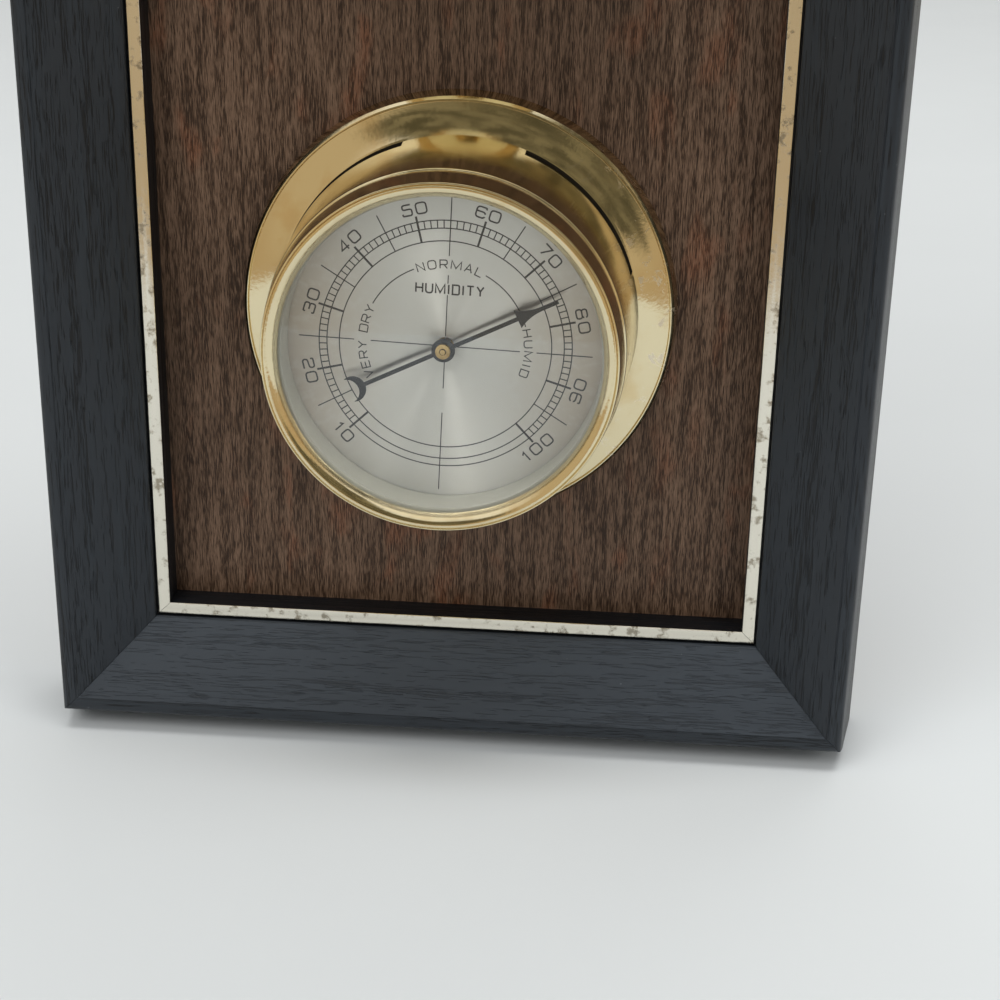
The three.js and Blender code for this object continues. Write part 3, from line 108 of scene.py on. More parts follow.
Triple = tuple[float, float, float]

MM = 0.001
QUARTER_TURN = 0.25
# Settings of two kinds of node. MapRange takes in 0 a value, in 1 and 2 its range, and in 3 and 4 the new
# range, or 0 to 1. Mix takes in 0 a share, and in 6 and 7 two colours.
SMOOTH = {"interpolation_type": "SMOOTHSTEP"}
COLOURS = {"data_type": "RGBA"}
LOG = logging.getLogger("weather_station")
STATION = "station"
SOFT_COPY_DEG = 25.0


# Colours and shader nodes


def linear(colour: str) -> tuple[float, float, float, float]:
    """Turns an sRGB hex colour into linear red, green, blue and an alpha of 1.

    Args:
        colour: six hex digits after a hash sign.

    Returns:
        The four numbers that a colour socket takes.
    """
    channels = np.array([int(colour[i:i + 2], 16) for i in (1, 3, 5)]) / 255
    low = channels / 12.92
    high = ((channels + 0.055) / 1.055) ** 2.4
    return (*np.where(channels <= 0.04045, low, high).tolist(), 1.0)


def fill(tree: ShaderTree, node: Shader, sockets: dict) -> None:
    """Sets or links inputs of a shader node.

    Args:
        tree: node tree that holds the node.
        node: the node.
        sockets: input name or number to a value, a hex colour, or another node or its output.
    """
    for key, value in sockets.items():
        if isinstance(value, Shader):
            value = next(output for output in value.outputs if output.enabled)
        if isinstance(value, Socket):
            tree.links.new(value, node.inputs[key])
        else:
            node.inputs[key].default_value = linear(value) if isinstance(value, str) else value


def add(tree: ShaderTree, kind: str, sockets: Optional[dict] = None,
        **settings: Any) -> Shader:
    """Adds a shader node with its settings and its inputs.

    Args:
        tree: node tree that gets the node.
        kind: type of the node without the word ShaderNode.
        sockets: input name or number to a value, a hex colour, or another node or its output.
        settings: properties of the node.

    Returns:
        The new node.
    """
    node = tree.nodes.new(f"ShaderNode{kind}")
    for key, value in settings.items():
        setattr(node, key, value)
    fill(tree, node, sockets or {})
    return node


@dataclass(frozen=True)
class Finish:
    """A surface finish, which becomes one material of the same name.

    The ranges in the paint methods are values of a noise, from 0 to 1, matched to the look.
    """

    name: str
    slot: str

    def paint(self, tree: ShaderTree, shader: Shader) -> None:
        """Adds the finish's nodes to the shader.

        Args:
            tree: node tree of the material.
            shader: its Principled BSDF.
        """
        raise NotImplementedError

    def material(self) -> Material:
        """Makes the material at the first call and returns the same one afterwards.

        Returns:
            The material of this finish.
        """
        found = bpy.data.materials.get(self.name)
        if found is not None:
            return found
        made = bpy.data.materials.new(self.name)
        made.use_nodes = True
        self.paint(made.node_tree, made.node_tree.nodes["Principled BSDF"])
        return made

    @staticmethod
    def local(tree: ShaderTree) -> Socket:
        """Returns the piece's own coordinates, in metres: those that its profile was drawn in."""
        return add(tree, "Attribute", attribute_name="local").outputs["Vector"]

    @staticmethod
    def place(tree: ShaderTree) -> Socket:
        """Returns the Object coordinates, in metres."""
        return add(tree, "TexCoord").outputs["Object"]

    @staticmethod
    def grain(tree: ShaderTree, vector: Socket, cell_mm: Triple,
              detail: float = 2.0, roughness: float = 0.5, distortion: float = 0.0) -> Socket:
        """Noise whose cells have a real size along each axis.

        Args:
            tree: node tree of the material.
            vector: coordinates in metres.
            cell_mm: size of a cell along x, y and z.
            detail: octaves of the noise.
            roughness: weight of the finer octaves.
            distortion: how much the noise bends itself.

        Returns:
            The noise, from 0 to 1.
        """
        scale = tuple(1 / (size * MM) for size in cell_mm)
        mapping = add(tree, "Mapping", {"Vector": vector, "Scale": scale})
        noise = add(tree, "TexNoise", {
            "Vector": mapping.outputs[0], "Scale": 1.0, "Detail": detail,
            "Roughness": roughness, "Distortion": distortion,
        })
        return noise.outputs["Fac"]

    @staticmethod
    def brushed_round(tree: ShaderTree, shader: Shader, share: float) -> None:
        """Spreads reflections across the lines that turning or brushing round the depth axis left.

        Args:
            tree: node tree of the material.
            shader: its Principled BSDF.
            share: how much wider the reflection is across the lines, from 0 to 1.
        """
        spin = add(tree, "Attribute", attribute_name="spin").outputs["Vector"]
        fill(tree, shader, {"Anisotropic": share, "Anisotropic Rotation": QUARTER_TURN, "Tangent": spin})

    @staticmethod
    def relief(tree: ShaderTree, shader: Shader, height: Signal, depth_mm: float) -> None:
        """Adds a bump of a real depth to the shader.

        Args:
            tree: node tree of the material.
            shader: its Principled BSDF.
            height: height from 0 to 1.
            depth_mm: depth that the height of 1 stands for.
        """
        bump = add(tree, "Bump", {"Height": height, "Distance": depth_mm * MM, "Strength": 1.0})
        tree.links.new(bump.outputs["Normal"], shader.inputs["Normal"])


@dataclass(frozen=True)
class PaintedOak(Finish):
    """Blue-black satin paint over open-pored oak: pores stay as grooves, ledges gather dust with painted top
    light, and faces behind the front face carry painted shade.
    """

    name: str = "painted oak"
    slot: str = "painted_oak"
    paint_colour: str = "#23282e"
    worn_colour: str = "#2a3036"
    pore_colour: str = "#0b0c0f"
    # Lighter film on upward faces of the front: dust on the ledges together with painted light from above
    dusty_colour: str = "#565c63"
    pore_mm: Triple = (0.26, 0.26, 7.0)
    figure_mm: Triple = (2.2, 2.2, 60.0)
    streak_mm: Triple = (0.9, 0.9, 40.0)
    speck_mm: float = 0.8
    speck_colour: str = "#a9acaf"
    pore_depth_mm: float = 0.1
    roughness: float = 0.45
    face_y_mm: float = -17.2
    # Share by which faces behind the front face darken towards the pore colour: painted shade in the recess
    lip_shade: float = 0.75

    def paint(self, tree: ShaderTree, shader: Shader) -> None:
        """Adds pores, figure, brush marks, dust specks, a lighter film on upward faces (dust and painted top
        light) and painted shade behind the front face to the shader.
        """
        local = self.local(tree)
        fine = self.grain(tree, local, self.pore_mm, detail=3, distortion=0.15)
        figure = self.grain(tree, local, self.figure_mm, detail=2, distortion=0.5)
        depth = add(tree, "Math", {
            0: fine, 1: add(tree, "Math", {0: figure, 1: 0.45}, operation="MULTIPLY"),
        }, operation="ADD")
        pores = add(tree, "MapRange", {0: depth, 1: 0.79, 2: 0.86}, **SMOOTH)
        streak = self.grain(tree, local, self.streak_mm, detail=3)
        tone = add(tree, "Mix", {
            0: add(tree, "MapRange", {0: streak, 1: 0.45, 2: 0.8}, **SMOOTH), 6: self.paint_colour,
            7: self.worn_colour,
        }, **COLOURS)
        tone = add(tree, "Mix", {
            0: add(tree, "Math", {0: pores, 1: 0.8}, operation="MULTIPLY"), 6: tone, 7: self.pore_colour,
        }, **COLOURS)
        # Upward faces of the front get a lighter film: dust, and painted light from above.
        facing = add(tree, "SeparateXYZ", {0: add(tree, "NewGeometry").outputs["Normal"]}).outputs["Z"]
        forward = add(tree, "SeparateXYZ", {0: self.place(tree)}).outputs["Y"]
        on_face = add(tree, "Math", {0: forward, 1: self.face_y_mm * MM}, operation="LESS_THAN")
        dust_and_top_light = add(tree, "Math", {
            0: add(tree, "MapRange", {0: facing, 1: 0.2, 2: 0.7, 4: 0.4}, **SMOOTH), 1: on_face,
        }, operation="MULTIPLY")
        tone = add(tree, "Mix", {0: dust_and_top_light, 6: tone, 7: self.dusty_colour}, **COLOURS)
        # Faces behind the front face darken towards the pore colour: painted shade in the recess by the
        # liner.
        shade = add(tree, "Math", {0: on_face, 1: self.lip_shade}, operation="MULTIPLY")
        painted_lip_darkening = add(tree, "Math", {0: self.lip_shade, 1: shade}, operation="SUBTRACT")
        tone = add(tree, "Mix", {0: painted_lip_darkening, 6: tone, 7: self.pore_colour}, **COLOURS)
        speck = self.grain(tree, self.place(tree), (self.speck_mm,) * 3, detail=1)
        tone = add(tree, "Mix", {
            0: add(tree, "MapRange", {0: speck, 1: 0.81, 2: 0.85, 4: 0.4}, **SMOOTH), 6: tone,
            7: self.speck_colour,
        }, **COLOURS)
        gloss = add(tree, "MapRange", {
            0: streak, 1: 0.3, 2: 0.8, 3: self.roughness - 0.05, 4: self.roughness + 0.1,
        }, **SMOOTH)
        fill(tree, shader, {"Base Color": tone, "Roughness": gloss, "Specular IOR Level": 0.4})
        height = add(tree, "Math", {
            0: add(tree, "Math", {0: streak, 1: 0.25}, operation="MULTIPLY"), 1: pores,
        }, operation="SUBTRACT")
        self.relief(tree, shader, height, self.pore_depth_mm)


@dataclass(frozen=True)
class RawOak(Finish):
    """Unpainted back of the moulding: sawn oak, matt, with paint that ran over its edges."""

    name: str = "sawn oak"
    slot: str = "painted_oak"
    wood_colour: str = "#a98a63"
    late_colour: str = "#86673f"
    fibre_colour: str = "#5d4527"
    ring_mm: Triple = (4.0, 4.0, 160.0)
    fibre_mm: Triple = (0.7, 0.7, 18.0)

    def paint(self, tree: ShaderTree, shader: Shader) -> None:
        """Adds growth rings, fibres and saw marks to the shader."""
        local = self.local(tree)
        rings = self.grain(tree, local, self.ring_mm, detail=3, distortion=0.8)
        fibre = self.grain(tree, local, self.fibre_mm, detail=3)
        tone = add(tree, "Mix", {
            0: add(tree, "MapRange", {0: rings, 1: 0.35, 2: 0.65}, **SMOOTH), 6: self.wood_colour,
            7: self.late_colour,
        }, **COLOURS)
        tone = add(tree, "Mix", {
            0: add(tree, "MapRange", {0: fibre, 1: 0.58, 2: 0.75, 4: 0.6}, **SMOOTH), 6: tone,
            7: self.fibre_colour,
        }, **COLOURS)
        fill(tree, shader, {"Base Color": tone, "Roughness": 0.8})
        self.relief(tree, shader, fibre, 0.12)


@dataclass(frozen=True)
class PolishedLiner(Finish):
    """Rolled champagne-coloured aluminium strip: bright, with handling wear that mottles the mirror."""

    name: str = "champagne aluminium"
    slot: str = "liner"
    metal_colour: str = "#e8e3d5"
    worn_colour: str = "#948a78"
    blotch_mm: float = 2.6
    scratch_mm: Triple = (0.12, 0.12, 9.0)
    roughness: float = 0.14

    def paint(self, tree: ShaderTree, shader: Shader) -> None:
        """Adds wear blotches and fine lengthwise scratches to the shader."""
        blotch = self.grain(tree, self.place(tree), (self.blotch_mm,) * 3, detail=4, roughness=0.6)
        scratch = self.grain(tree, self.local(tree), self.scratch_mm, detail=2)
        worn = add(tree, "MapRange", {0: blotch, 1: 0.54, 2: 0.68, 4: 0.8}, **SMOOTH)
        tone = add(tree, "Mix", {0: worn, 6: self.metal_colour, 7: self.worn_colour}, **COLOURS)
        gloss = add(tree, "MapRange", {
            0: blotch, 1: 0.5, 2: 0.7, 3: self.roughness, 4: self.roughness + 0.2,
        }, **SMOOTH)
        fill(tree, shader, {"Base Color": tone, "Metallic": 1.0, "Roughness": gloss})
        self.relief(tree, shader, add(tree, "Math", {0: scratch, 1: blotch}, operation="ADD"), 0.012)


@dataclass(frozen=True)
class WoodgrainBoard(Finish):
    """Hardboard panel with a printed walnut grain on its front and the bare pressed fibre behind."""

    name: str = "printed walnut hardboard"
    slot: str = "woodgrain_panel"
    ground_colour: str = "#67503f"
    dark_colour: str = "#4d392b"
    strand_colour: str = "#25180f"
    light_colour: str = "#866d59"
    red_colour: str = "#784b33"
    back_colour: str = "#7a5433"
    back_dark_colour: str = "#54371f"
    strand_mm: Triple = (0.19, 30.0, 2.7)
    figure_mm: Triple = (1.4, 60.0, 22.0)
    patch_mm: Triple = (9.0, 60.0, 24.0)
    felt_mm: float = 0.9
    face_y_mm: float = -6.0

    def paint(self, tree: ShaderTree, shader: Shader) -> None:
        """Adds figure, reddish patches and fine upright strands in front, and felted fibre behind."""
        place = self.place(tree)
        figure = self.grain(tree, place, self.figure_mm, detail=3, distortion=0.5)
        strand = self.grain(tree, place, self.strand_mm, detail=3, roughness=0.55, distortion=0.35)
        patch = self.grain(tree, place, self.patch_mm, detail=3, distortion=0.4)
        tone = add(tree, "Mix", {
            0: add(tree, "MapRange", {0: figure, 1: 0.36, 2: 0.64}, **SMOOTH), 6: self.ground_colour,
            7: self.dark_colour,
        }, **COLOURS)
        tone = add(tree, "Mix", {
            0: add(tree, "MapRange", {0: patch, 1: 0.54, 2: 0.70, 4: 0.6}, **SMOOTH), 6: tone,
            7: self.red_colour,
        }, **COLOURS)
        tone = add(tree, "Mix", {
            0: add(tree, "MapRange", {0: strand, 1: 0.48, 2: 0.34, 4: 0.5}, **SMOOTH), 6: tone,
            7: self.light_colour,
        }, **COLOURS)
        weight = add(tree, "Math", {
            0: strand, 1: add(tree, "Math", {0: figure, 1: 0.3}, operation="MULTIPLY"),
        }, operation="ADD")
        marks = add(tree, "MapRange", {0: weight, 1: 0.64, 2: 0.78}, **SMOOTH)
        tone = add(tree, "Mix", {
            0: add(tree, "Math", {0: marks, 1: 0.8}, operation="MULTIPLY"), 6: tone, 7: self.strand_colour,
        }, **COLOURS)
        felt = self.grain(tree, place, (self.felt_mm,) * 3, detail=5, roughness=0.7)
        back = add(tree, "Mix", {
            0: add(tree, "MapRange", {0: felt, 1: 0.35, 2: 0.7}, **SMOOTH), 6: self.back_colour,
            7: self.back_dark_colour,
        }, **COLOURS)
        depth = add(tree, "SeparateXYZ", {0: place}).outputs["Y"]
        is_back = add(tree, "Math", {0: depth, 1: self.face_y_mm * MM}, operation="GREATER_THAN")
        tone = add(tree, "Mix", {0: is_back, 6: tone, 7: back}, **COLOURS)
        fill(tree, shader, {"Base Color": tone, "Roughness": 0.55, "Specular IOR Level": 0.35})
        self.relief(tree, shader, add(tree, "Math", {0: 1.0, 1: marks}, operation="SUBTRACT"), 0.06)


@dataclass(frozen=True)
class PolishedBrass(Finish):
    """Spun and polished brass under thin lacquer: pale gold, with turning lines and a soft tarnish."""

    name: str = "polished brass"
    slot: str = "polished_brass"
    metal_colour: str = "#e5d7b2"
    tarnish_colour: str = "#dbc190"
    residue_colour: str = "#efe6d6"
    roughness: float = 0.1
    turning_mm: float = 0.3
    peel_mm: float = 0.9
    cloud_mm: float = 14.0
    residue_mm: float = 6.0
    residue_radius_mm: float = 42.5
    residue_x_mm: Pair = (12.0, 40.0)
    sheen: float = 0.6

    def paint(self, tree: ShaderTree, shader: Shader) -> None:
        """Adds turning lines, tarnish clouds and dried polish beside the drum to the shader."""
        local = self.local(tree)
        place = self.place(tree)
        parts = add(tree, "SeparateXYZ", {0: local}).outputs
        flat = add(tree, "CombineXYZ", {"X": parts["X"], "Y": parts["Y"]}).outputs[0]
        radius = add(tree, "VectorMath", {0: flat}, operation="LENGTH").outputs["Value"]
        line = add(tree, "CombineXYZ", {"X": radius, "Z": parts["Z"]}).outputs[0]
        turning = self.grain(tree, line, (self.turning_mm,) * 3, detail=3, roughness=0.7)
        cloud = self.grain(tree, place, (self.cloud_mm,) * 3, detail=4, roughness=0.6)
        tarnish = add(tree, "MapRange", {0: cloud, 1: 0.48, 2: 0.70, 4: 0.6}, **SMOOTH)
        tone = add(tree, "Mix", {0: tarnish, 6: self.metal_colour, 7: self.tarnish_colour}, **COLOURS)
        blot = self.grain(tree, place, (self.residue_mm,) * 3, detail=5, roughness=0.7, distortion=1.2)
        on_flange = add(tree, "Math", {
            0: radius, 1: self.residue_radius_mm * MM,
        }, operation="GREATER_THAN")
        left, right = (place_mm * MM for place_mm in self.residue_x_mm)
        to_right = add(tree, "MapRange", {0: parts["X"], 1: left, 2: right}, **SMOOTH)
        residue = add(tree, "Math", {
            0: add(tree, "MapRange", {0: blot, 1: 0.56, 2: 0.66}, **SMOOTH), 1: on_flange,
        }, operation="MULTIPLY")
        residue = add(tree, "Math", {0: residue, 1: to_right}, operation="MULTIPLY")
        tone = add(tree, "Mix", {
            0: add(tree, "Math", {0: residue, 1: 0.6}, operation="MULTIPLY"), 6: tone,
            7: self.residue_colour,
        }, **COLOURS)
        haze = add(tree, "MapRange", {
            0: cloud, 1: 0.35, 2: 0.75, 3: self.roughness, 4: self.roughness + 0.1,
        }, **SMOOTH)
        gloss = add(tree, "Math", {
            0: haze, 1: add(tree, "Math", {0: residue, 1: 0.25}, operation="MULTIPLY"),
        }, operation="ADD")
        fill(tree, shader, {"Base Color": tone, "Metallic": 1.0, "Roughness": gloss})
        peel = self.grain(tree, place, (self.peel_mm,) * 3, detail=2)
        height = add(tree, "Math", {
            0: add(tree, "Math", {0: turning, 1: 0.4}, operation="MULTIPLY"), 1: peel,
        }, operation="ADD")
        self.relief(tree, shader, height, 0.016)
        self.brushed_round(tree, shader, self.sheen)


@dataclass(frozen=True)
class WorkedMetal(Finish):
    """Metal with dull clouds over it and streaks that the tool or the rolls left."""

    metal_colour: str = "#ffffff"
    dull_colour: str = "#808080"
    cloud_mm: float = 9.0
    streak_mm: Triple = (0.4, 0.4, 12.0)
    gloss: Pair = (0.3, 0.5)
    depth_mm: float = 0.02

    def paint(self, tree: ShaderTree, shader: Shader) -> None:
        """Adds the clouds and the streaks to the shader."""
        place = self.place(tree)
        cloud = self.grain(tree, place, (self.cloud_mm,) * 3, detail=4)
        streak = self.grain(tree, place, self.streak_mm, detail=2)
        tone = add(tree, "Mix", {
            0: add(tree, "MapRange", {0: cloud, 1: 0.35, 2: 0.7}, **SMOOTH), 6: self.metal_colour,
            7: self.dull_colour,
        }, **COLOURS)
        gloss = add(tree, "MapRange", {
            0: cloud, 1: 0.3, 2: 0.8, 3: self.gloss[0], 4: self.gloss[1],
        }, **SMOOTH)
        fill(tree, shader, {"Base Color": tone, "Metallic": 1.0, "Roughness": gloss})
        self.relief(tree, shader, streak, self.depth_mm)


@dataclass(frozen=True)
class MillBrass(WorkedMetal):
    """Brass sheet as it leaves the press: duller and browner than the polished case."""

    name: str = "mill brass"
    slot: str = "movement_brass"
    metal_colour: str = "#cdb077"
    dull_colour: str = "#97783f"
    gloss: Pair = (0.32, 0.5)


@dataclass(frozen=True)
class PlainSteel(WorkedMetal):
    """Zinc-plated or ground steel: grey, half bright, with faint plating clouds and fine scratches."""

    name: str = "plated steel"
    slot: str = "steel"
    metal_colour: str = "#b4b6b8"
    dull_colour: str = "#85878a"
    cloud_mm: float = 3.0
    streak_mm: Triple = (0.15, 4.0, 0.6)
    gloss: Pair = (0.28, 0.46)
    depth_mm: float = 0.015


@dataclass(frozen=True)
class Mottled(Finish):
    """A surface of one gloss, whose two tones change from cell to cell."""

    light_colour: str = "#ffffff"
    dark_colour: str = "#808080"
    cell_mm: float = 1.0
    detail: float = 3.0
    fineness: float = 0.5
    change: Optional[Pair] = (0.35, 0.7)
    metallic: float = 0.0
    roughness: float = 0.5
    specular: float = 0.5
    depth_mm: float = 0.0

    def paint(self, tree: ShaderTree, shader: Shader) -> None:
        """Adds the tones, the gloss and the relief of the cells to the shader."""
        cells = self.grain(tree, self.place(tree), (self.cell_mm,) * 3, self.detail, self.fineness)
        share = cells
        if self.change is not None:
            low, high = self.change
            share = add(tree, "MapRange", {0: cells, 1: low, 2: high}, **SMOOTH)
        tone = add(tree, "Mix", {0: share, 6: self.light_colour, 7: self.dark_colour}, **COLOURS)
        fill(tree, shader, {
            "Base Color": tone, "Metallic": self.metallic, "Roughness": self.roughness,
            "Specular IOR Level": self.specular,
        })
        if self.depth_mm > 0:
            self.relief(tree, shader, cells, self.depth_mm)


@dataclass(frozen=True)
class FoamPad(Mottled):
    """Dark grey self-adhesive rubber foam: matt, with open cells."""

    name: str = "rubber foam"
    slot: str = "pad"
    light_colour: str = "#3c3c3d"
    dark_colour: str = "#232324"
    cell_mm: float = 0.6
    change: Optional[Pair] = (0.4, 0.6)
    roughness: float = 0.92
    depth_mm: float = 0.2


@dataclass(frozen=True)
class BrushedDial(Finish):
    """Silvered dial, brushed round its centre so that light spreads outward from it; painted highlight rays
    and a painted warm reflection on the sides are in its colour.
    """

    name: str = "brushed silvered dial"
    slot: str = "brushed_dial"
    metal_colour: str = "#d0cec6"
    # Painted reflection: the sides take a warmer tone, as of a warm room mirrored in them
    side_colour: str = "#b3a490"
    # Painted highlight: faint lighter rays from the centre, as of lamp streaks in the brushing
    ray_colour: str = "#d6d5cf"
    roughness: float = 0.34
    ray_mm: float = 45.0
    brushing_mm: float = 0.3
    sheen: float = 1.0

    def paint(self, tree: ShaderTree, shader: Shader) -> None:
        """Adds the brushing round the centre, the painted warm reflection on the sides and faint painted
        highlight rays to the shader.
        """
        local = self.local(tree)
        parts = add(tree, "SeparateXYZ", {0: local}).outputs
        outward = add(tree, "VectorMath", {0: local}, operation="NORMALIZE").outputs["Vector"]
        # Painted reflection: the dial is warmer towards its left and right sides.
        sideways = add(tree, "SeparateXYZ", {0: outward}).outputs["X"]
        across = add(tree, "Math", {0: sideways}, operation="ABSOLUTE")
        side_reflection = add(tree, "MapRange", {0: across, 1: 0.25, 2: 0.95}, **SMOOTH)
        # Painted highlight: lighter rays spread out from the centre.
        rays = self.grain(tree, outward, (self.ray_mm,) * 3, detail=4, roughness=0.65)
        tone = add(tree, "Mix", {0: side_reflection, 6: self.metal_colour, 7: self.side_colour}, **COLOURS)
        shade = add(tree, "Mix", {
            0: add(tree, "MapRange", {0: rays, 1: 0.45, 2: 0.75, 4: 0.35}, **SMOOTH), 6: tone,
            7: self.ray_colour,
        }, **COLOURS)
        fill(tree, shader, {"Base Color": shade, "Metallic": 1.0, "Roughness": self.roughness})
        self.brushed_round(tree, shader, self.sheen)
        flat = add(tree, "CombineXYZ", {"X": parts["X"], "Y": parts["Y"]}).outputs[0]
        brushing = self.grain(tree, flat, (self.brushing_mm,) * 3, detail=2)
        self.relief(tree, shader, brushing, 0.001)


@dataclass(frozen=True)
class PrintingInk(Mottled):
    """Screen-printed black-brown ink on the dial: thin, half matt, a little uneven."""

    name: str = "dial ink"
    slot: str = "black_enamel"
    light_colour: str = "#191816"
    dark_colour: str = "#2a2825"
    cell_mm: float = 0.5
    change: Optional[Pair] = (0.35, 0.75)
    roughness: float = 0.55


@dataclass(frozen=True)
class BlackEnamel(Finish):
    """Black stove enamel on a stamped pointer: smooth, half gloss, with a few dust nibs."""

    name: str = "black enamel"
    slot: str = "black_enamel"
    enamel_colour: str = "#141618"
    nib_colour: str = "#a9adae"

    def paint(self, tree: ShaderTree, shader: Shader) -> None:
        """Adds orange peel and dust nibs to the shader."""
        place = self.place(tree)
        peel = self.grain(tree, place, (0.9, 0.9, 0.9), detail=2)
        nibs = self.grain(tree, place, (0.3, 0.3, 0.3), detail=1)
        share = add(tree, "MapRange", {0: nibs, 1: 0.79, 2: 0.83, 4: 0.5}, **SMOOTH)
        tone = add(tree, "Mix", {0: share, 6: self.enamel_colour, 7: self.nib_colour}, **COLOURS)
        fill(tree, shader, {"Base Color": tone, "Roughness": 0.42, "Specular IOR Level": 0.3})
        self.relief(tree, shader, peel, 0.01)


@dataclass(frozen=True)
class HeatStain(Mottled):
    """Painted shade for the inside of the spun case and the cut edges of its vent slots: matt, nearly black.
    """

    name: str = "stained brass"
    slot: str = "polished_brass"
    light_colour: str = "#14110c"
    dark_colour: str = "#261f14"
    cell_mm: float = 3.0
    change: Optional[Pair] = None
    roughness: float = 0.8
    specular: float = 0.2


@dataclass(frozen=True)
class CapsuleAlloy(Mottled):
    """Copper-coloured beryllium bronze of the pressure capsule and of the two-metal coil, heat-tinted."""

    name: str = "beryllium bronze"
    slot: str = "capsule_metal"
    light_colour: str = "#c08a5e"
    dark_colour: str = "#8d5c3c"
    cell_mm: float = 7.0
    detail: float = 4.0
    metallic: float = 1.0
    roughness: float = 0.36
    depth_mm: float = 0.02


@dataclass(frozen=True)
class MoistureStrip(Mottled):
    """Paper-faced strip that curls with damp: matt, cream, fibrous."""

    name: str = "moisture paper"
    slot: str = "moisture_strip"
    light_colour: str = "#d8cba9"
    dark_colour: str = "#b3a27a"
    cell_mm: float = 0.4
    detail: float = 5.0
    fineness: float = 0.7
    roughness: float = 0.85
    depth_mm: float = 0.05


@dataclass(frozen=True)
class LensGlass(Finish):
    """Clear, nearly colourless crown glass; lamp light passes it without a caustic."""

    name: str = "crown glass"
    slot: str = "lens_glass"
    glass_colour: str = "#fdfdfc"
    smear_mm: float = 11.0

    def paint(self, tree: ShaderTree, shader: Shader) -> None:
        """Makes the shader clear with faint smears, and lets shadow rays through."""
        smear = self.grain(tree, self.place(tree), (self.smear_mm,) * 3, detail=3)
        gloss = add(tree, "MapRange", {0: smear, 1: 0.45, 2: 0.75, 4: 0.02}, **SMOOTH)
        fill(tree, shader, {
            "Base Color": self.glass_colour, "Roughness": gloss, "IOR": 1.5,
            "Specular IOR Level": 0.35, "Transmission Weight": 1.0,
        })
        ray = add(tree, "LightPath").outputs["Is Shadow Ray"]
        clear = add(tree, "BsdfTransparent", {"Color": self.glass_colour}).outputs[0]
        mixed = add(tree, "MixShader", {0: ray, 1: shader.outputs[0], 2: clear}).outputs[0]
        tree.links.new(mixed, tree.nodes["Material Output"].inputs["Surface"])


@dataclass(frozen=True)
class SpacerPlastic(Mottled):
    """Pale grey moulded ring between dial and glass, seen only as a thin inner wall."""

    name: str = "pale grey polystyrene"
    slot: str = "liner"
    light_colour: str = "#99988b"
    dark_colour: str = "#8b897d"
    cell_mm: float = 1.5
    change: Optional[Pair] = None
    roughness: float = 0.35
    depth_mm: float = 0.01


@dataclass(frozen=True)
class PaleTable(Finish):
    """Pale matt laminate that the station stands on, with a few specks."""

    name: str = "pale laminate"
    slot: str = ""
    light_colour: str = "#dbdede"
    dark_colour: str = "#d7dada"
    speck_colour: str = "#8d8f90"
    cloud_mm: float = 120.0
    speck_mm: float = 1.6

    def paint(self, tree: ShaderTree, shader: Shader) -> None:
        """Adds faint clouds and specks to the shader."""
        place = self.place(tree)
        cloud = self.grain(tree, place, (self.cloud_mm,) * 3, detail=3)
        speck = self.grain(tree, place, (self.speck_mm,) * 3, detail=1)
        tone = add(tree, "Mix", {0: cloud, 6: self.light_colour, 7: self.dark_colour}, **COLOURS)
        tone = add(tree, "Mix", {
            0: add(tree, "MapRange", {0: speck, 1: 0.84, 2: 0.87, 4: 0.25}, **SMOOTH), 6: tone,
            7: self.speck_colour,
        }, **COLOURS)
        fill(tree, shader, {"Base Color": tone, "Roughness": 0.75, "Specular IOR Level": 0.2})


OAK = PaintedOak()
RAW_OAK = RawOak()
LINER = PolishedLiner()
BOARD = WoodgrainBoard()
BRASS = PolishedBrass()
MILL_BRASS = MillBrass()
STEEL = PlainSteel()
PAD = FoamPad()
DIAL = BrushedDial()
INK = PrintingInk()
ENAMEL = BlackEnamel()
INNER_SHADE = HeatStain()
BRONZE = CapsuleAlloy()
STRIP = MoistureStrip()
GLASS = LensGlass()
SPACER = SpacerPlastic()
TABLE = PaleTable()


# Surfaces


@dataclass(frozen=True)
class Placement:
    """Local frame of a sub-assembly: where its origin is and where its three axes point."""

    origin: Array
    axes: Array

    def to_model(self, points: Array) -> Array:
        """Turns local millimetres into metres of the model: origin plus each coordinate along its axis."""
        return self.origin + (points * MM) @ self.axes


@dataclass(frozen=True)
class Patch:
    """Points in local millimetres, faces with one number of corners, and which finish they have."""

    points: Array
    faces: Array
    finish: int = 0


def grid_faces(rows: int, columns: int, wrap_rows: bool, wrap_columns: bool) -> Array:
    """Corner numbers of the faces of a grid of points, row by row.

    Args:
        rows: points down the grid.
        columns: points across it.
        wrap_rows: whether the last row joins the first.
        wrap_columns: whether the last column joins the first.

    Returns:
        One row of four corner numbers for each face.
    """
    i, j = np.meshgrid(np.arange(rows if wrap_rows else rows - 1),
                       np.arange(columns if wrap_columns else columns - 1), indexing="ij")
    i_next = (i + 1) % rows
    j_next = (j + 1) % columns
    corners = [i * columns + j, i * columns + j_next, i_next * columns + j_next, i_next * columns + j]
    return np.stack(corners, axis=-1).reshape(-1, 4)


def curve(share: Array, start: Array, control: Array, end: Array) -> Array:
    """Returns points of a quadratic curve: (1-t)^2 start + 2t(1-t) control + t^2 end."""
    return (1 - share) ** 2 * start + 2 * share * (1 - share) * control + share ** 2 * end


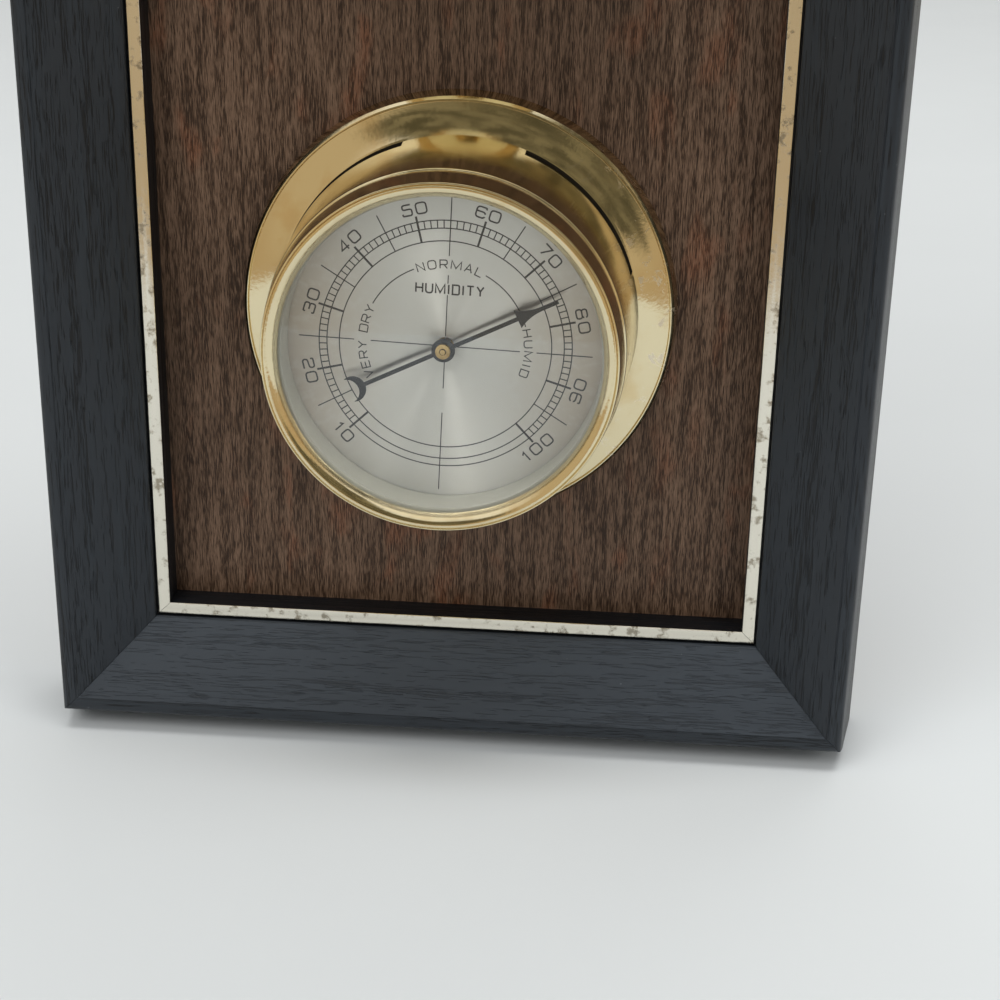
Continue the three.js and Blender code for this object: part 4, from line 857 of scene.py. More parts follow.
def softened(points: Array, reach: Any, steps: int = 4, closed: bool = True) -> Array:
    """Rounds the corners of a line of points.

    Each corner becomes a quadratic curve that starts and ends the given reach away from it on its two
    sides, with the corner as the curve's control point. A reach never passes the middle of a side. The
    ends of an open line stay as they are.

    Args:
        points: corners, one in each row.
        reach: one reach for all the corners, or one for each.
        steps: segments of each curve.
        closed: whether the last corner joins the first.

    Returns:
        The points of the rounded line.
    """
    points = np.asarray(points, float)
    reach = np.broadcast_to(np.asarray(reach, float), (len(points),))[:, None]
    before = np.roll(points, 1, axis=0) - points
    after = np.roll(points, -1, axis=0) - points
    long_before = np.linalg.norm(before, axis=1, keepdims=True)
    long_after = np.linalg.norm(after, axis=1, keepdims=True)
    cut = np.minimum(reach, 0.5 * np.minimum(long_before, long_after))
    start = points + before / long_before * cut
    end = points + after / long_after * cut
    share = np.linspace(0, 1, steps + 1)[:, None, None]
    bends = np.swapaxes(curve(share, start, points, end), 0, 1)
    if not closed:
        middle = bends[1:-1].reshape(-1, points.shape[1])
        return np.vstack([points[:1], middle, points[-1:]])
    return bends.reshape(-1, points.shape[1])


def ring_section(bore: float, rim: float, low: float, high: float, rounding: float) -> Array:
    """Returns the rectangular section of a ring, with rounded corners, for turning."""
    return softened(np.array([(bore, low), (rim, low), (rim, high), (bore, high)]), rounding)


def turned(profile: Array, steps: int, closed: bool) -> Patch:
    """Turns a profile round the local depth axis: (r cos a, r sin a, depth) for each step of the angle a.

    Args:
        profile: radius and depth of each point.
        steps: angles in a full turn.
        closed: whether the profile is a loop, as for a ring, or starts and ends on the axis.

    Returns:
        The patch of the surface.
    """
    angle = np.linspace(0, 2 * np.pi, steps, endpoint=False)
    radius, depth = profile[:, :1], profile[:, 1:]
    points = np.stack([radius * np.cos(angle), radius * np.sin(angle), depth + 0 * angle], axis=-1)
    return Patch(points.reshape(-1, 3), grid_faces(len(profile), steps, closed, True))


def plate(outline: Array, low: float, high: float) -> list[Patch]:
    """Gives a flat outline a thickness: two faces of the outline's own shape and a wall round it.

    Args:
        outline: x and y of each corner.
        low: depth of the back.
        high: depth of the front.

    Returns:
        The patches of the wall, the back and the front.
    """
    count = len(outline)
    levels = np.repeat([low, high], count)[:, None]
    points = np.hstack([np.vstack([outline, outline]), levels])
    back = np.arange(count)[None, ::-1]
    front = count + np.arange(count)[None]
    return [Patch(points, grid_faces(2, count, False, True)), Patch(points, back), Patch(points, front)]


def boxes(low: Array, high: Array, turn: Array) -> Patch:
    """Many small blocks at once, each turned about the depth axis.

    Args:
        low: lowest corner of each block before it is turned.
        high: highest corner of each block.
        turn: clockwise turn of each block, in radians.

    Returns:
        One patch with all the blocks.
    """
    square = np.array([[0, 0], [1, 0], [1, 1], [0, 1]])
    pick = np.hstack([np.vstack([square, square]), np.repeat([0, 1], 4)[:, None]])
    points = low[:, None] + pick[None] * (high - low)[:, None]
    cos, sin = np.cos(turn)[:, None], np.sin(turn)[:, None]
    x = points[..., 0] * cos + points[..., 1] * sin
    y = points[..., 1] * cos - points[..., 0] * sin
    sides = np.array([[0, 3, 2, 1], [4, 5, 6, 7], [0, 1, 5, 4], [1, 2, 6, 5], [2, 3, 7, 6], [3, 0, 4, 7]])
    faces = sides[None] + 8 * np.arange(len(points))[:, None, None]
    return Patch(np.stack([x, y, points[..., 2]], axis=-1).reshape(-1, 3), faces.reshape(-1, 4))


def ribbon(path: Array, width: float, low: float, high: float, closed: bool) -> list[Patch]:
    """Carries a flat rectangular section along a line in the plane of a dial.

    The two edges lie half the width to the left and the right of the line, along its normal, which is
    lengthened at a bend so that the width stays the same.

    Args:
        path: x and y of each point of the line.
        width: width of the ribbon.
        low: depth of its back.
        high: depth of its front.
        closed: whether the line is a loop.

    Returns:
        The patches of the ribbon.
    """
    step = np.roll(path, -1, axis=0) - path
    if not closed:
        step[-1] = step[-2]
    step /= np.linalg.norm(step, axis=1, keepdims=True)
    previous = np.roll(step, 1, axis=0)
    if not closed:
        previous[0] = step[0]
        step[-1] = previous[-1]
    middle = step + previous
    middle /= np.linalg.norm(middle, axis=1, keepdims=True)
    normal = np.stack([-middle[:, 1], middle[:, 0]], axis=1)
    stretch = np.clip(np.sum(middle * step, axis=1, keepdims=True), 0.5, 1)
    offset = normal * width / 2 / stretch
    left, right = path + offset, path - offset
    ring = [np.c_[left, np.full(len(path), low)], np.c_[right, np.full(len(path), low)],
            np.c_[right, np.full(len(path), high)], np.c_[left, np.full(len(path), high)]]
    points = np.concatenate(ring)
    patches = [Patch(points, grid_faces(4, len(path), True, closed))]
    if not closed:
        ends = np.arange(4)[None] * len(path)
        patches += [Patch(points, ends), Patch(points, ends + len(path) - 1)]
    return patches


def build(name: str, patches: list[Patch], placement: Placement, finishes: list[Finish], *replaced: str,
          body: str = STATION, smooth_deg: float = 32.0, bevel_mm: float = 0.0) -> Object:
    """Puts patches into one mesh object at the model's origin and tells the frame of it.

    Corners that share a place become one, the faces are turned outwards, and the local coordinates and
    the direction round the depth axis are kept as attributes for the finishes.

    Args:
        name: name of the piece.
        patches: its surface in local millimetres.
        placement: local frame of the piece.
        finishes: finishes by the numbers that the patches use; the first one names the slot.
        replaced: CAD nodes that the piece stands for.
        body: body that carries it.
        smooth_deg: edges sharper than this stay sharp.
        bevel_mm: width of a bevel on the sharp edges, or 0 for none.

    Returns:
        The new object.
    """
    offsets = np.cumsum([0] + [len(patch.points) for patch in patches[:-1]])
    faces = [patch.faces + offset for patch, offset in zip(patches, offsets)]
    sizes = np.concatenate([np.full(len(part), part.shape[1]) for part in faces])
    finish = np.concatenate([np.full(len(patch.faces), patch.finish) for patch in patches])
    corners = np.concatenate([part.ravel() for part in faces]).astype(np.int32)
    points = np.concatenate([patch.points for patch in patches])
    mesh = bpy.data.meshes.new(name)
    mesh.vertices.add(len(points))
    mesh.vertices.foreach_set("co", points.astype(np.float32).ravel())
    mesh.loops.add(len(corners))
    mesh.loops.foreach_set("vertex_index", corners)
    mesh.polygons.add(len(sizes))
    mesh.polygons.foreach_set("loop_start", (np.cumsum(sizes) - sizes).astype(np.int32))
    mesh.polygons.foreach_set("material_index", finish.astype(np.int32))
    mesh.update(calc_edges=True)
    weld(mesh, 1e-4)
    keep_local(mesh, placement)
    return finish_object(name, mesh, finishes, replaced, body, smooth_deg, bevel_mm)


def weld(mesh: Mesh, distance: float) -> None:
    """Merges corners closer than the distance, cuts large flat faces up and turns all faces outwards."""
    shell = bmesh.new()
    shell.from_mesh(mesh)
    bmesh.ops.remove_doubles(shell, verts=shell.verts, dist=distance)
    large = [face for face in shell.faces if len(face.verts) > 4]
    bmesh.ops.triangulate(shell, faces=large, ngon_method="EAR_CLIP")
    bmesh.ops.recalc_face_normals(shell, faces=shell.faces)
    shell.to_mesh(mesh)
    shell.free()


def read_corners(mesh: Mesh) -> Array:
    """Returns the places of a mesh's corners, one in each row."""
    flat = np.zeros(len(mesh.vertices) * 3, np.float32)
    mesh.vertices.foreach_get("co", flat)
    return flat.reshape(-1, 3)


def keep_vectors(mesh: Mesh, name: str, vectors: Array) -> None:
    """Writes one vector for each corner of a mesh into a new attribute."""
    attribute = mesh.attributes.new(name, "FLOAT_VECTOR", "POINT")
    attribute.data.foreach_set("vector", vectors.astype(np.float32).ravel())


def keep_local(mesh: Mesh, placement: Placement) -> None:
    """Keeps the local coordinates as an attribute and moves the mesh to its place in the model.

    Args:
        mesh: mesh whose corners are local millimetres.
        placement: its local frame.
    """
    local = read_corners(mesh).astype(float)
    keep_vectors(mesh, "local", local * MM)
    round_axis = np.stack([-local[:, 1], local[:, 0], 0 * local[:, 0]], axis=1)
    length = np.maximum(np.linalg.norm(round_axis, axis=1, keepdims=True), 1e-6)
    keep_vectors(mesh, "spin", (round_axis / length) @ placement.axes)
    mesh.vertices.foreach_set("co", placement.to_model(local).astype(np.float32).ravel())
    mesh.update()


def finish_object(name: str, mesh: Mesh, finishes: list[Finish], replaced: tuple[str, ...], body: str,
                  smooth_deg: float, bevel_mm: float) -> Object:
    """Makes an object of a placed mesh, with smooth shading, materials and a bevel, known to the frame.

    Args:
        name: name of the piece.
        mesh: its mesh, in metres of the model.
        finishes: finishes in the order of the mesh's material numbers; the first one names the slot.
        replaced: CAD nodes that the piece stands for.
        body: body that carries it.
        smooth_deg: edges sharper than this stay sharp.
        bevel_mm: width of a bevel on the sharp edges, or 0 for none.

    Returns:
        The new object.
    """
    piece = bpy.data.objects.new(name, mesh)
    bpy.context.scene.collection.objects.link(piece)
    for finish in finishes:
        mesh.materials.append(finish.material())
    mesh.shade_smooth()
    mesh.set_sharp_from_angle(angle=math.radians(smooth_deg))
    if bevel_mm > 0:
        bevel = piece.modifiers.new("edge rounding", "BEVEL")
        bevel.width = bevel_mm * MM
        bevel.segments = 3
        bevel.limit_method = "ANGLE"
        bevel.angle_limit = math.radians(smooth_deg)
        bevel.harden_normals = True
    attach(piece, body)
    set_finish(piece, finishes[0].slot)
    if replaced:
        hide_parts(*replaced)
    LOG.info("%s on %s", piece.name, body)
    return piece


def box(node: str) -> tuple[Array, Array]:
    """Returns the lowest and the highest corner of a CAD node, in metres."""
    low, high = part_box(node)
    return np.array(low), np.array(high)


def soft_copy(node: str, name: str, finish: Finish, bevel_mm: float) -> Object:
    """Stands a copy of a CAD node with merged corners and rounded edges in for the node.

    Args:
        node: CAD node.
        name: name of the copy.
        finish: its finish.
        bevel_mm: width of the rounding.

    Returns:
        The new piece.
    """
    mesh = frame["nodes"][node].data.copy()
    mesh.name = name
    weld(mesh, 1e-6)
    mesh.materials.clear()
    low, high = box(node)
    keep_vectors(mesh, "local", read_corners(mesh) - (low + high) / 2)
    return finish_object(name, mesh, [finish], (node,), STATION, SOFT_COPY_DEG, bevel_mm)


def dress(finish: Finish, *nodes: str) -> None:
    """Gives CAD nodes a procedural material in place of their plain one.

    Args:
        finish: finish of the nodes.
        nodes: names of the nodes.
    """
    for node in nodes:
        held = frame["nodes"][node]
        for material_slot in held.material_slots:
            material_slot.material = finish.material()
        held["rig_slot"] = finish.slot
        LOG.info("%s keeps its solid, as %s", node, finish.name)


# Frame


# Points of the moulding's section whose faces stay unpainted: in the rabbet, and next to the back's corner
BARE_FROM_RABBET = 10
BARE_AT_BACK = 2


class Side(Enum):
    """The four sides of the frame, with the direction from the outer edge inward."""

    BOTTOM = (0.0, 0.0, 1.0)
    RIGHT = (-1.0, 0.0, 0.0)
    TOP = (0.0, 0.0, -1.0)
    LEFT = (1.0, 0.0, 0.0)

    @property
    def moulding_node(self) -> str:
        """Name of this side's CAD moulding."""
        kind = "rail" if self in (Side.BOTTOM, Side.TOP) else "stile"
        return f"frame_{self.name.lower()}_{kind}"

    @property
    def trim_node(self) -> str:
        """Name of this side's CAD liner."""
        return f"trim_{self.name.lower()}"


@dataclass
class PictureFrame:
    """Mitred oak moulding and metal liner, drawn inward from the outer edge and forward from the back."""

    back_chamfer: float = 0.8
    rabbet_edge: float = 21.9
    rail_width: float = 29.5
    lip_back: float = 8.2
    trim_seat: float = 15.8
    face_end: float = 26.4
    face_low: float = 18.2
    crest_in: float = 9.15
    crest: float = 30.6
    step_depth: float = 0.35
    nose_width: float = 3.5
    band_in: float = 4.75
    band_low: float = 26.6
    mitre_gap: float = 0.05
    groove: Pair = (0.3, 0.15)
    trim_in: Pair = (26.9, 29.9)
    trim_depth: Pair = (16.0, 17.0)
    trim_ridge: float = 0.15
    trim_ridge_width: float = 1.0
    trim_lip: float = 29.6
    trim_leg: float = 2.0
    edge_rounding: float = 0.25
    along_steps: int = 24

    def outline_low_high(self) -> tuple[Array, Array]:
        """Returns the lowest and highest corner of the four mouldings together, in metres."""
        lows, highs = zip(*(box(side.moulding_node) for side in Side))
        return np.min(lows, axis=0), np.max(highs, axis=0)

    def placement(self, side: Side) -> tuple[Placement, float]:
        """Works out a side's local frame and its outer length from the frame's corners.

        Args:
            side: which side.

        Returns:
            The placement, whose axes are inward, forward and along, and the length in millimetres.
        """
        low, high = self.outline_low_high()
        inward = np.array(side.value)
        forward = np.array([0.0, -1.0, 0.0])
        centre = (low + high) / 2
        centre[1] = high[1]
        origin = centre - inward * (high - low) / 2
        length = (high - low)[0] if side in (Side.BOTTOM, Side.TOP) else (high - low)[2]
        return Placement(origin, np.stack([inward, forward, np.cross(inward, forward)])), length / MM

    def moulding_profile(self) -> tuple[Array, Array]:
        """Draws the moulding's section with softened corners.

        Returns:
            The points, and for each of them whether the face that starts there is bare wood.
        """
        groove_width, groove_depth = self.groove
        crest_in = self.crest_in
        nose = self.crest - self.step_depth
        corners = np.array([
            (self.rabbet_edge, 0), (self.rabbet_edge, self.lip_back), (self.rail_width, self.lip_back),
            (self.rail_width, self.trim_seat), (self.face_end, self.trim_seat),
            (self.face_end, self.face_low), (crest_in, self.crest), (crest_in - 0.1, nose - groove_depth),
            (crest_in - groove_width, nose - groove_depth), (crest_in - groove_width - 0.2, nose),
            (crest_in - self.nose_width, nose), (self.band_in, self.band_low),
            (0, self.back_chamfer), (self.back_chamfer, 0),
        ])
        reach = [0.1, 0.1, 0.4, 0.3, 0.1, 0.3, 0.3, 0.1, 0.1, 0.15, 1.9, 2.4, 0.4, 0.4]
        points = softened(corners, reach, steps=4)
        bare = np.zeros(len(points), bool)
        bare[:BARE_FROM_RABBET] = True
        bare[-BARE_AT_BACK:] = True
        return points, bare

    def trim_profile(self) -> tuple[Array, Array]:
        """Draws the liner's section: a band, a ridge along the panel and a leg down the lip.

        Returns:
            The points, and for each of them whether the face that starts there is painted over.
        """
        outer, inner = self.trim_in
        seat, top = self.trim_depth
        ridge = top + self.trim_ridge
        shelf = inner - self.trim_ridge_width
        corners = np.array([
            (outer, seat), (self.trim_lip, seat), (self.trim_lip, seat - self.trim_leg),
            (inner, seat - self.trim_leg), (inner, ridge), (shelf, ridge), (shelf - 0.9, top), (outer, top),
        ])
        points = softened(corners, [0.1, 0.05, 0.05, 0.05, 0.22, 0.3, 0.3, 0.22], steps=3)
        follow = np.roll(points, -1, axis=0)
        painted = (points[:, 0] > inner - 0.01) & (follow[:, 0] > inner - 0.01) & (points[:, 1] < seat)
        return points, painted

    def carried(self, profile: Array, length: float, second: Array) -> list[Patch]:
        """Carries a section along a side and cuts its ends to the mitre.

        At a share t from -1 to 1 a point that lies u inward is at t (length / 2 - u - gap) along the side.

        Args:
            profile: inward and forward of each point of the section.
            length: outer length of the side.
            second: for each point, whether the face that starts there has the second finish.

        Returns:
            The patches of the bar and its two ends.
        """
        share = np.linspace(-1, 1, self.along_steps + 1)
        half = length / 2 - profile[:, :1] - self.mitre_gap
        points = np.stack([profile[:, :1] + 0 * share, profile[:, 1:] + 0 * share, half * share], axis=-1)
        count, columns = points.shape[:2]
        flat = points.reshape(-1, 3)
        faces = grid_faces(count, columns, True, False)
        ring = np.arange(count)[None] * columns
        ends = [Patch(flat, ring), Patch(flat, ring + columns - 1)]
        has_second = np.repeat(second, columns - 1)
        return [Patch(flat, faces[~has_second]), Patch(flat, faces[has_second], 1), *ends]

    def build(self) -> None:
        """Builds the four mouldings and the four liners."""
        profile, bare = self.moulding_profile()
        strip, painted = self.trim_profile()
        for side in Side:
            placement, length = self.placement(side)
            moulding, trim = side.moulding_node, side.trim_node
            bar = self.carried(profile, length, bare)
            build(f"oak_{moulding}", bar, placement, [OAK, RAW_OAK], moulding, bevel_mm=self.edge_rounding)
            strips = self.carried(strip, length, painted)
            build(f"metal_{trim}", strips, placement, [LINER, OAK], trim)


@dataclass
class HangingKit:
    """What the station hangs and rests by: toothed hanger, foam pads, and the points behind the panel."""

    pad_rounding: float = 0.5
    pad_shoulder: float = 0.75
    pad_crown: float = 0.86
    pad_steps: int = 64
    steel_rounding: float = 0.12
    point_rounding: float = 0.08

    def pad(self, name: str) -> None:
        """Builds one foam pad, a low dome with a rounded rim, over its CAD disc.

        Args:
            name: CAD node of the pad.
        """
        low, high = box(name)
        origin = np.array([(low[0] + high[0]) / 2, low[1], (low[2] + high[2]) / 2])
        radius = (high[0] - low[0]) / 2 / MM
        height = (high[1] - low[1]) / MM
        corners = [(0, 0), (radius, 0), (radius, height * self.pad_shoulder),
                   (radius * self.pad_crown, height), (0, height)]
        profile = softened(np.array(corners), self.pad_rounding, closed=False)
        axes = np.array([[1.0, 0, 0], [0, 0, 1.0], [0, 1.0, 0]])
        dome = turned(profile, self.pad_steps, False)
        build(f"foam_{name}", [dome], Placement(origin, axes), [PAD], name)

    def build(self) -> None:
        """Builds the hanger, the pads and the panel points."""
        soft_copy("sawtooth_hanger", "pressed_sawtooth_hanger", STEEL, self.steel_rounding)
        for name in ("bumper_left", "bumper_right"):
            self.pad(name)
        for side in ("left", "right"):
            for level in ("upper", "lower"):
                node = f"panel_point_{side}_{level}"
                soft_copy(node, f"pressed_{node}", STEEL, self.point_rounding)


# Lettering


@dataclass(frozen=True)
class Stroke:
    """One line of a letter in its cell: width 0 to 1 across, height 0 to 1, with rounded bends."""

    points: tuple
    bend: float = 0.0
    closed: bool = False


BOWL = 0.3
GLYPHS: dict[str, tuple[Stroke, ...]] = {
    "0": (Stroke(((0, 0), (1, 0), (1, 1), (0, 1)), BOWL, True),),
    "1": (Stroke(((0.2, 0.78), (0.5, 1), (0.5, 0))),),
    "2": (Stroke(((0, 0.76), (0, 1), (1, 1), (1, 0.54), (0, 0.46), (0, 0), (1, 0)), 0.22),),
    "3": (Stroke(((0, 0.8), (0, 1), (1, 1), (1, 0.52), (0.3, 0.52)), 0.22),
          Stroke(((0.3, 0.52), (1, 0.52), (1, 0), (0, 0), (0, 0.22)), 0.22)),
    "4": (Stroke(((0.74, 0), (0.74, 1), (0, 0.26), (1, 0.26))),),
    "5": (Stroke(((0.95, 1), (0.06, 1), (0.03, 0.56), (1, 0.58), (1, 0), (0, 0), (0, 0.2)), 0.2),),
    "6": (Stroke(((1, 0.82), (1, 1), (0, 1), (0, 0), (1, 0), (1, 0.56), (0, 0.56)), BOWL),),
    "7": (Stroke(((0, 1), (1, 1), (0.36, 0))),),
    "8": (Stroke(((0, 0), (1, 0), (1, 0.52), (0, 0.52)), 0.24, True),
          Stroke(((0.05, 0.52), (0.95, 0.52), (0.95, 1), (0.05, 1)), 0.24, True)),
    "9": (Stroke(((0, 0.18), (0, 0), (1, 0), (1, 1), (0, 1), (0, 0.44), (1, 0.44)), BOWL),),
    "A": (Stroke(((0, 0), (0.5, 1), (1, 0))), Stroke(((0.18, 0.34), (0.82, 0.34)))),
    "C": (Stroke(((1, 0.8), (1, 1), (0, 1), (0, 0), (1, 0), (1, 0.2)), BOWL),),
    "D": (Stroke(((0.5, 0), (0, 0), (0, 1), (0.5, 1))),
          Stroke(((0.5, 1), (1, 1), (1, 0), (0.5, 0)), 0.36)),
    "E": (Stroke(((0.95, 1), (0, 1), (0, 0), (0.95, 0))), Stroke(((0, 0.5), (0.85, 0.5)))),
    "F": (Stroke(((0.95, 1), (0, 1), (0, 0))), Stroke(((0, 0.5), (0.85, 0.5)))),
    "G": (Stroke(((1, 0.8), (1, 1), (0, 1), (0, 0), (1, 0), (1, 0.48), (0.55, 0.48)), 0.26),),
    "H": (Stroke(((0, 0), (0, 1))), Stroke(((1, 0), (1, 1))), Stroke(((0, 0.5), (1, 0.5)))),
    "I": (Stroke(((0.5, 0), (0.5, 1))),),
    "L": (Stroke(((0, 1), (0, 0), (0.9, 0))),),
    "M": (Stroke(((0, 0), (0, 1), (0.5, 0.1), (1, 1), (1, 0))),),
    "N": (Stroke(((0, 0), (0, 1), (1, 0), (1, 1))),),
    "O": (Stroke(((0, 0), (1, 0), (1, 1), (0, 1)), 0.34, True),),
    "P": (Stroke(((0, 0), (0, 1), (0.4, 1))), Stroke(((0.4, 1), (1, 1), (1, 0.45), (0.4, 0.45)), 0.26),
          Stroke(((0.4, 0.45), (0, 0.45)))),
    "R": (Stroke(((0, 0), (0, 1), (0.4, 1))), Stroke(((0.4, 1), (1, 1), (1, 0.45), (0.4, 0.45)), 0.26),
          Stroke(((0.4, 0.45), (0, 0.45))), Stroke(((0.55, 0.45), (1, 0)))),
    "S": (Stroke(((1, 0.8), (1, 1), (0, 1), (0, 0.53), (1, 0.47), (1, 0), (0, 0), (0, 0.2)), 0.24),),
    "T": (Stroke(((0, 1), (1, 1))), Stroke(((0.5, 1), (0.5, 0)))),
    "U": (Stroke(((0, 1), (0, 0), (1, 0), (1, 1)), 0.32),),
    "V": (Stroke(((0, 1), (0.5, 0), (1, 1))),),
    "Y": (Stroke(((0, 1), (0.5, 0.5), (1, 1))), Stroke(((0.5, 0.5), (0.5, 0)))),
}
NARROW = {"1": 0.55, "I": 0.2, " ": 0.55}
WIDE = {"M": 1.35, "O": 1.1, "0": 1.1}


@dataclass(frozen=True)
class Lettering:
    """Wide line lettering of one size, drawn as inked ribbons."""

    height: float
    line: float
    low: float
    high: float
    stretch: float = 0.86
    gap: float = 0.42

    def width(self, letter: str) -> float:
        """Returns the width of a letter, in millimetres."""
        return self.height * self.stretch * NARROW.get(letter, WIDE.get(letter, 1.0))

    def glyph(self, letter: str, at: Array, turn: float) -> list[Patch]:
        """Draws one letter with the middle of its cell at a point.

        Args:
            letter: the letter or figure.
            at: x and y of the middle.
            turn: clockwise turn, in radians.

        Returns:
            The patches of its strokes.
        """
        patches: list[Patch] = []
        wide = self.height * self.stretch if letter in NARROW else self.width(letter)
        cell = np.array([wide, self.height])
        cos, sin = math.cos(turn), math.sin(turn)
        for stroke in GLYPHS.get(letter, ()):
            path = (np.array(stroke.points, float) - 0.5) * cell
            if stroke.bend > 0:
                path = softened(path, stroke.bend * self.height, steps=5, closed=stroke.closed)
            path = path @ np.array([[cos, -sin], [sin, cos]])
            patches += ribbon(path + at, self.line, self.low, self.high, stroke.closed)
        return patches

    def middles(self, text: str, spread: float = 1.0) -> tuple[Array, float]:
        """Spaces the letters of a word.

        Args:
            text: the word.
            spread: widens the spaces between the letters.

        Returns:
            How far the middle of each letter lies from the word's middle, and the word's length.
        """
        widths = np.array([self.width(letter) for letter in text])
        starts = np.concatenate([[0], np.cumsum(widths + spread * self.gap * self.height)[:-1]])
        long = starts[-1] + widths[-1]
        return starts + widths / 2 - long / 2, long

    def straight(self, text: str, centre: Pair, turn: float = 0.0) -> list[Patch]:
        """Sets a word on a straight line, centred on a point and turned clockwise about it.

        Args:
            text: the word.
            centre: x and y of its middle.
            turn: clockwise turn, in radians.

        Returns:
            The patches of its letters.
        """
        along = np.array([math.cos(turn), -math.sin(turn)])
        patches: list[Patch] = []
        for letter, middle in zip(text, self.middles(text)[0]):
            patches += self.glyph(letter, np.array(centre) + middle * along, turn)
        return patches

    def curved(self, text: str, radius: float, middle_deg: float, spread: float = 1.0) -> list[Patch]:
        """Sets a word round the dial with the tops of its letters outward.

        Args:
            text: the word.
            radius: radius through the middles of the letters.
            middle_deg: clockwise angle of the word's middle from the top.
            spread: widens the spaces between the letters.

        Returns:
            The patches of its letters.
        """
        patches: list[Patch] = []
        for letter, middle in zip(text, self.middles(text, spread)[0]):
            turn = math.radians(middle_deg) + middle / radius
            at = radius * np.array([math.sin(turn), math.cos(turn)])
            patches += self.glyph(letter, at, turn)
        return patches


@dataclass(frozen=True)
class Word:
    """A word on the word ring: its text and the angle of its middle, clockwise from the top."""

    text: str
    angle: float
    spread: float = 1.0


@dataclass(frozen=True)
class Scale:
    """What one dial shows: the value at the top, degrees for a unit, and the steps of its marks."""

    title: str
    low: float
    high: float
    top: float
    degrees: float
    fine: float
    middle: float
    bold: float
    words: tuple[Word, ...]
    labels: tuple[tuple[float, str], ...]

    def marks(self, step: float, *coarser: float) -> Array:
        """Angles of the marks at a step, clockwise from the top, without those of coarser steps.

        Args:
            step: value from mark to mark.
            coarser: steps whose marks are drawn by themselves.

        Returns:
            The angles, in radians.
        """
        count = round((self.high - self.low) / step)
        index = np.arange(count + 1)
        keep = np.ones(count + 1, bool)
        for other in coarser:
            keep &= index % round(other / step) != 0
        return np.radians((self.low + index[keep] * step - self.top) * self.degrees)


HUMIDITY = Scale(
    title="HUMIDITY", low=10, high=100, top=55, degrees=3, fine=1, middle=5, bold=10,
    words=(Word("NORMAL", 1, 1.2), Word("VERY DRY", -91, 0.9), Word("HUMID", 91, 1.2)),
    labels=tuple((float(value), str(value)) for value in range(10, 101, 10)),
)
TEMPERATURE = Scale(
    title="TEMPERATURE", low=0, high=120, top=60, degrees=2.25, fine=2, middle=10, bold=20,
    words=(Word("MILD", 0, 1.4), Word("COLD", -90, 1.4), Word("HOT", 90, 1.6)),
    labels=tuple((float(value), str(value)) for value in range(0, 121, 20)),
)
PRESSURE = Scale(
    title="PRESSURE", low=28, high=31, top=29.5, degrees=90, fine=0.02, middle=0.1, bold=0.5,
    words=(Word("CHANGE", 0, 1.1), Word("RAIN", -90, 1.4), Word("FAIR", 90, 1.4)),
    labels=tuple((28 + step / 2, str(28 + step // 2) if step % 2 == 0 else "5") for step in range(7)),
)


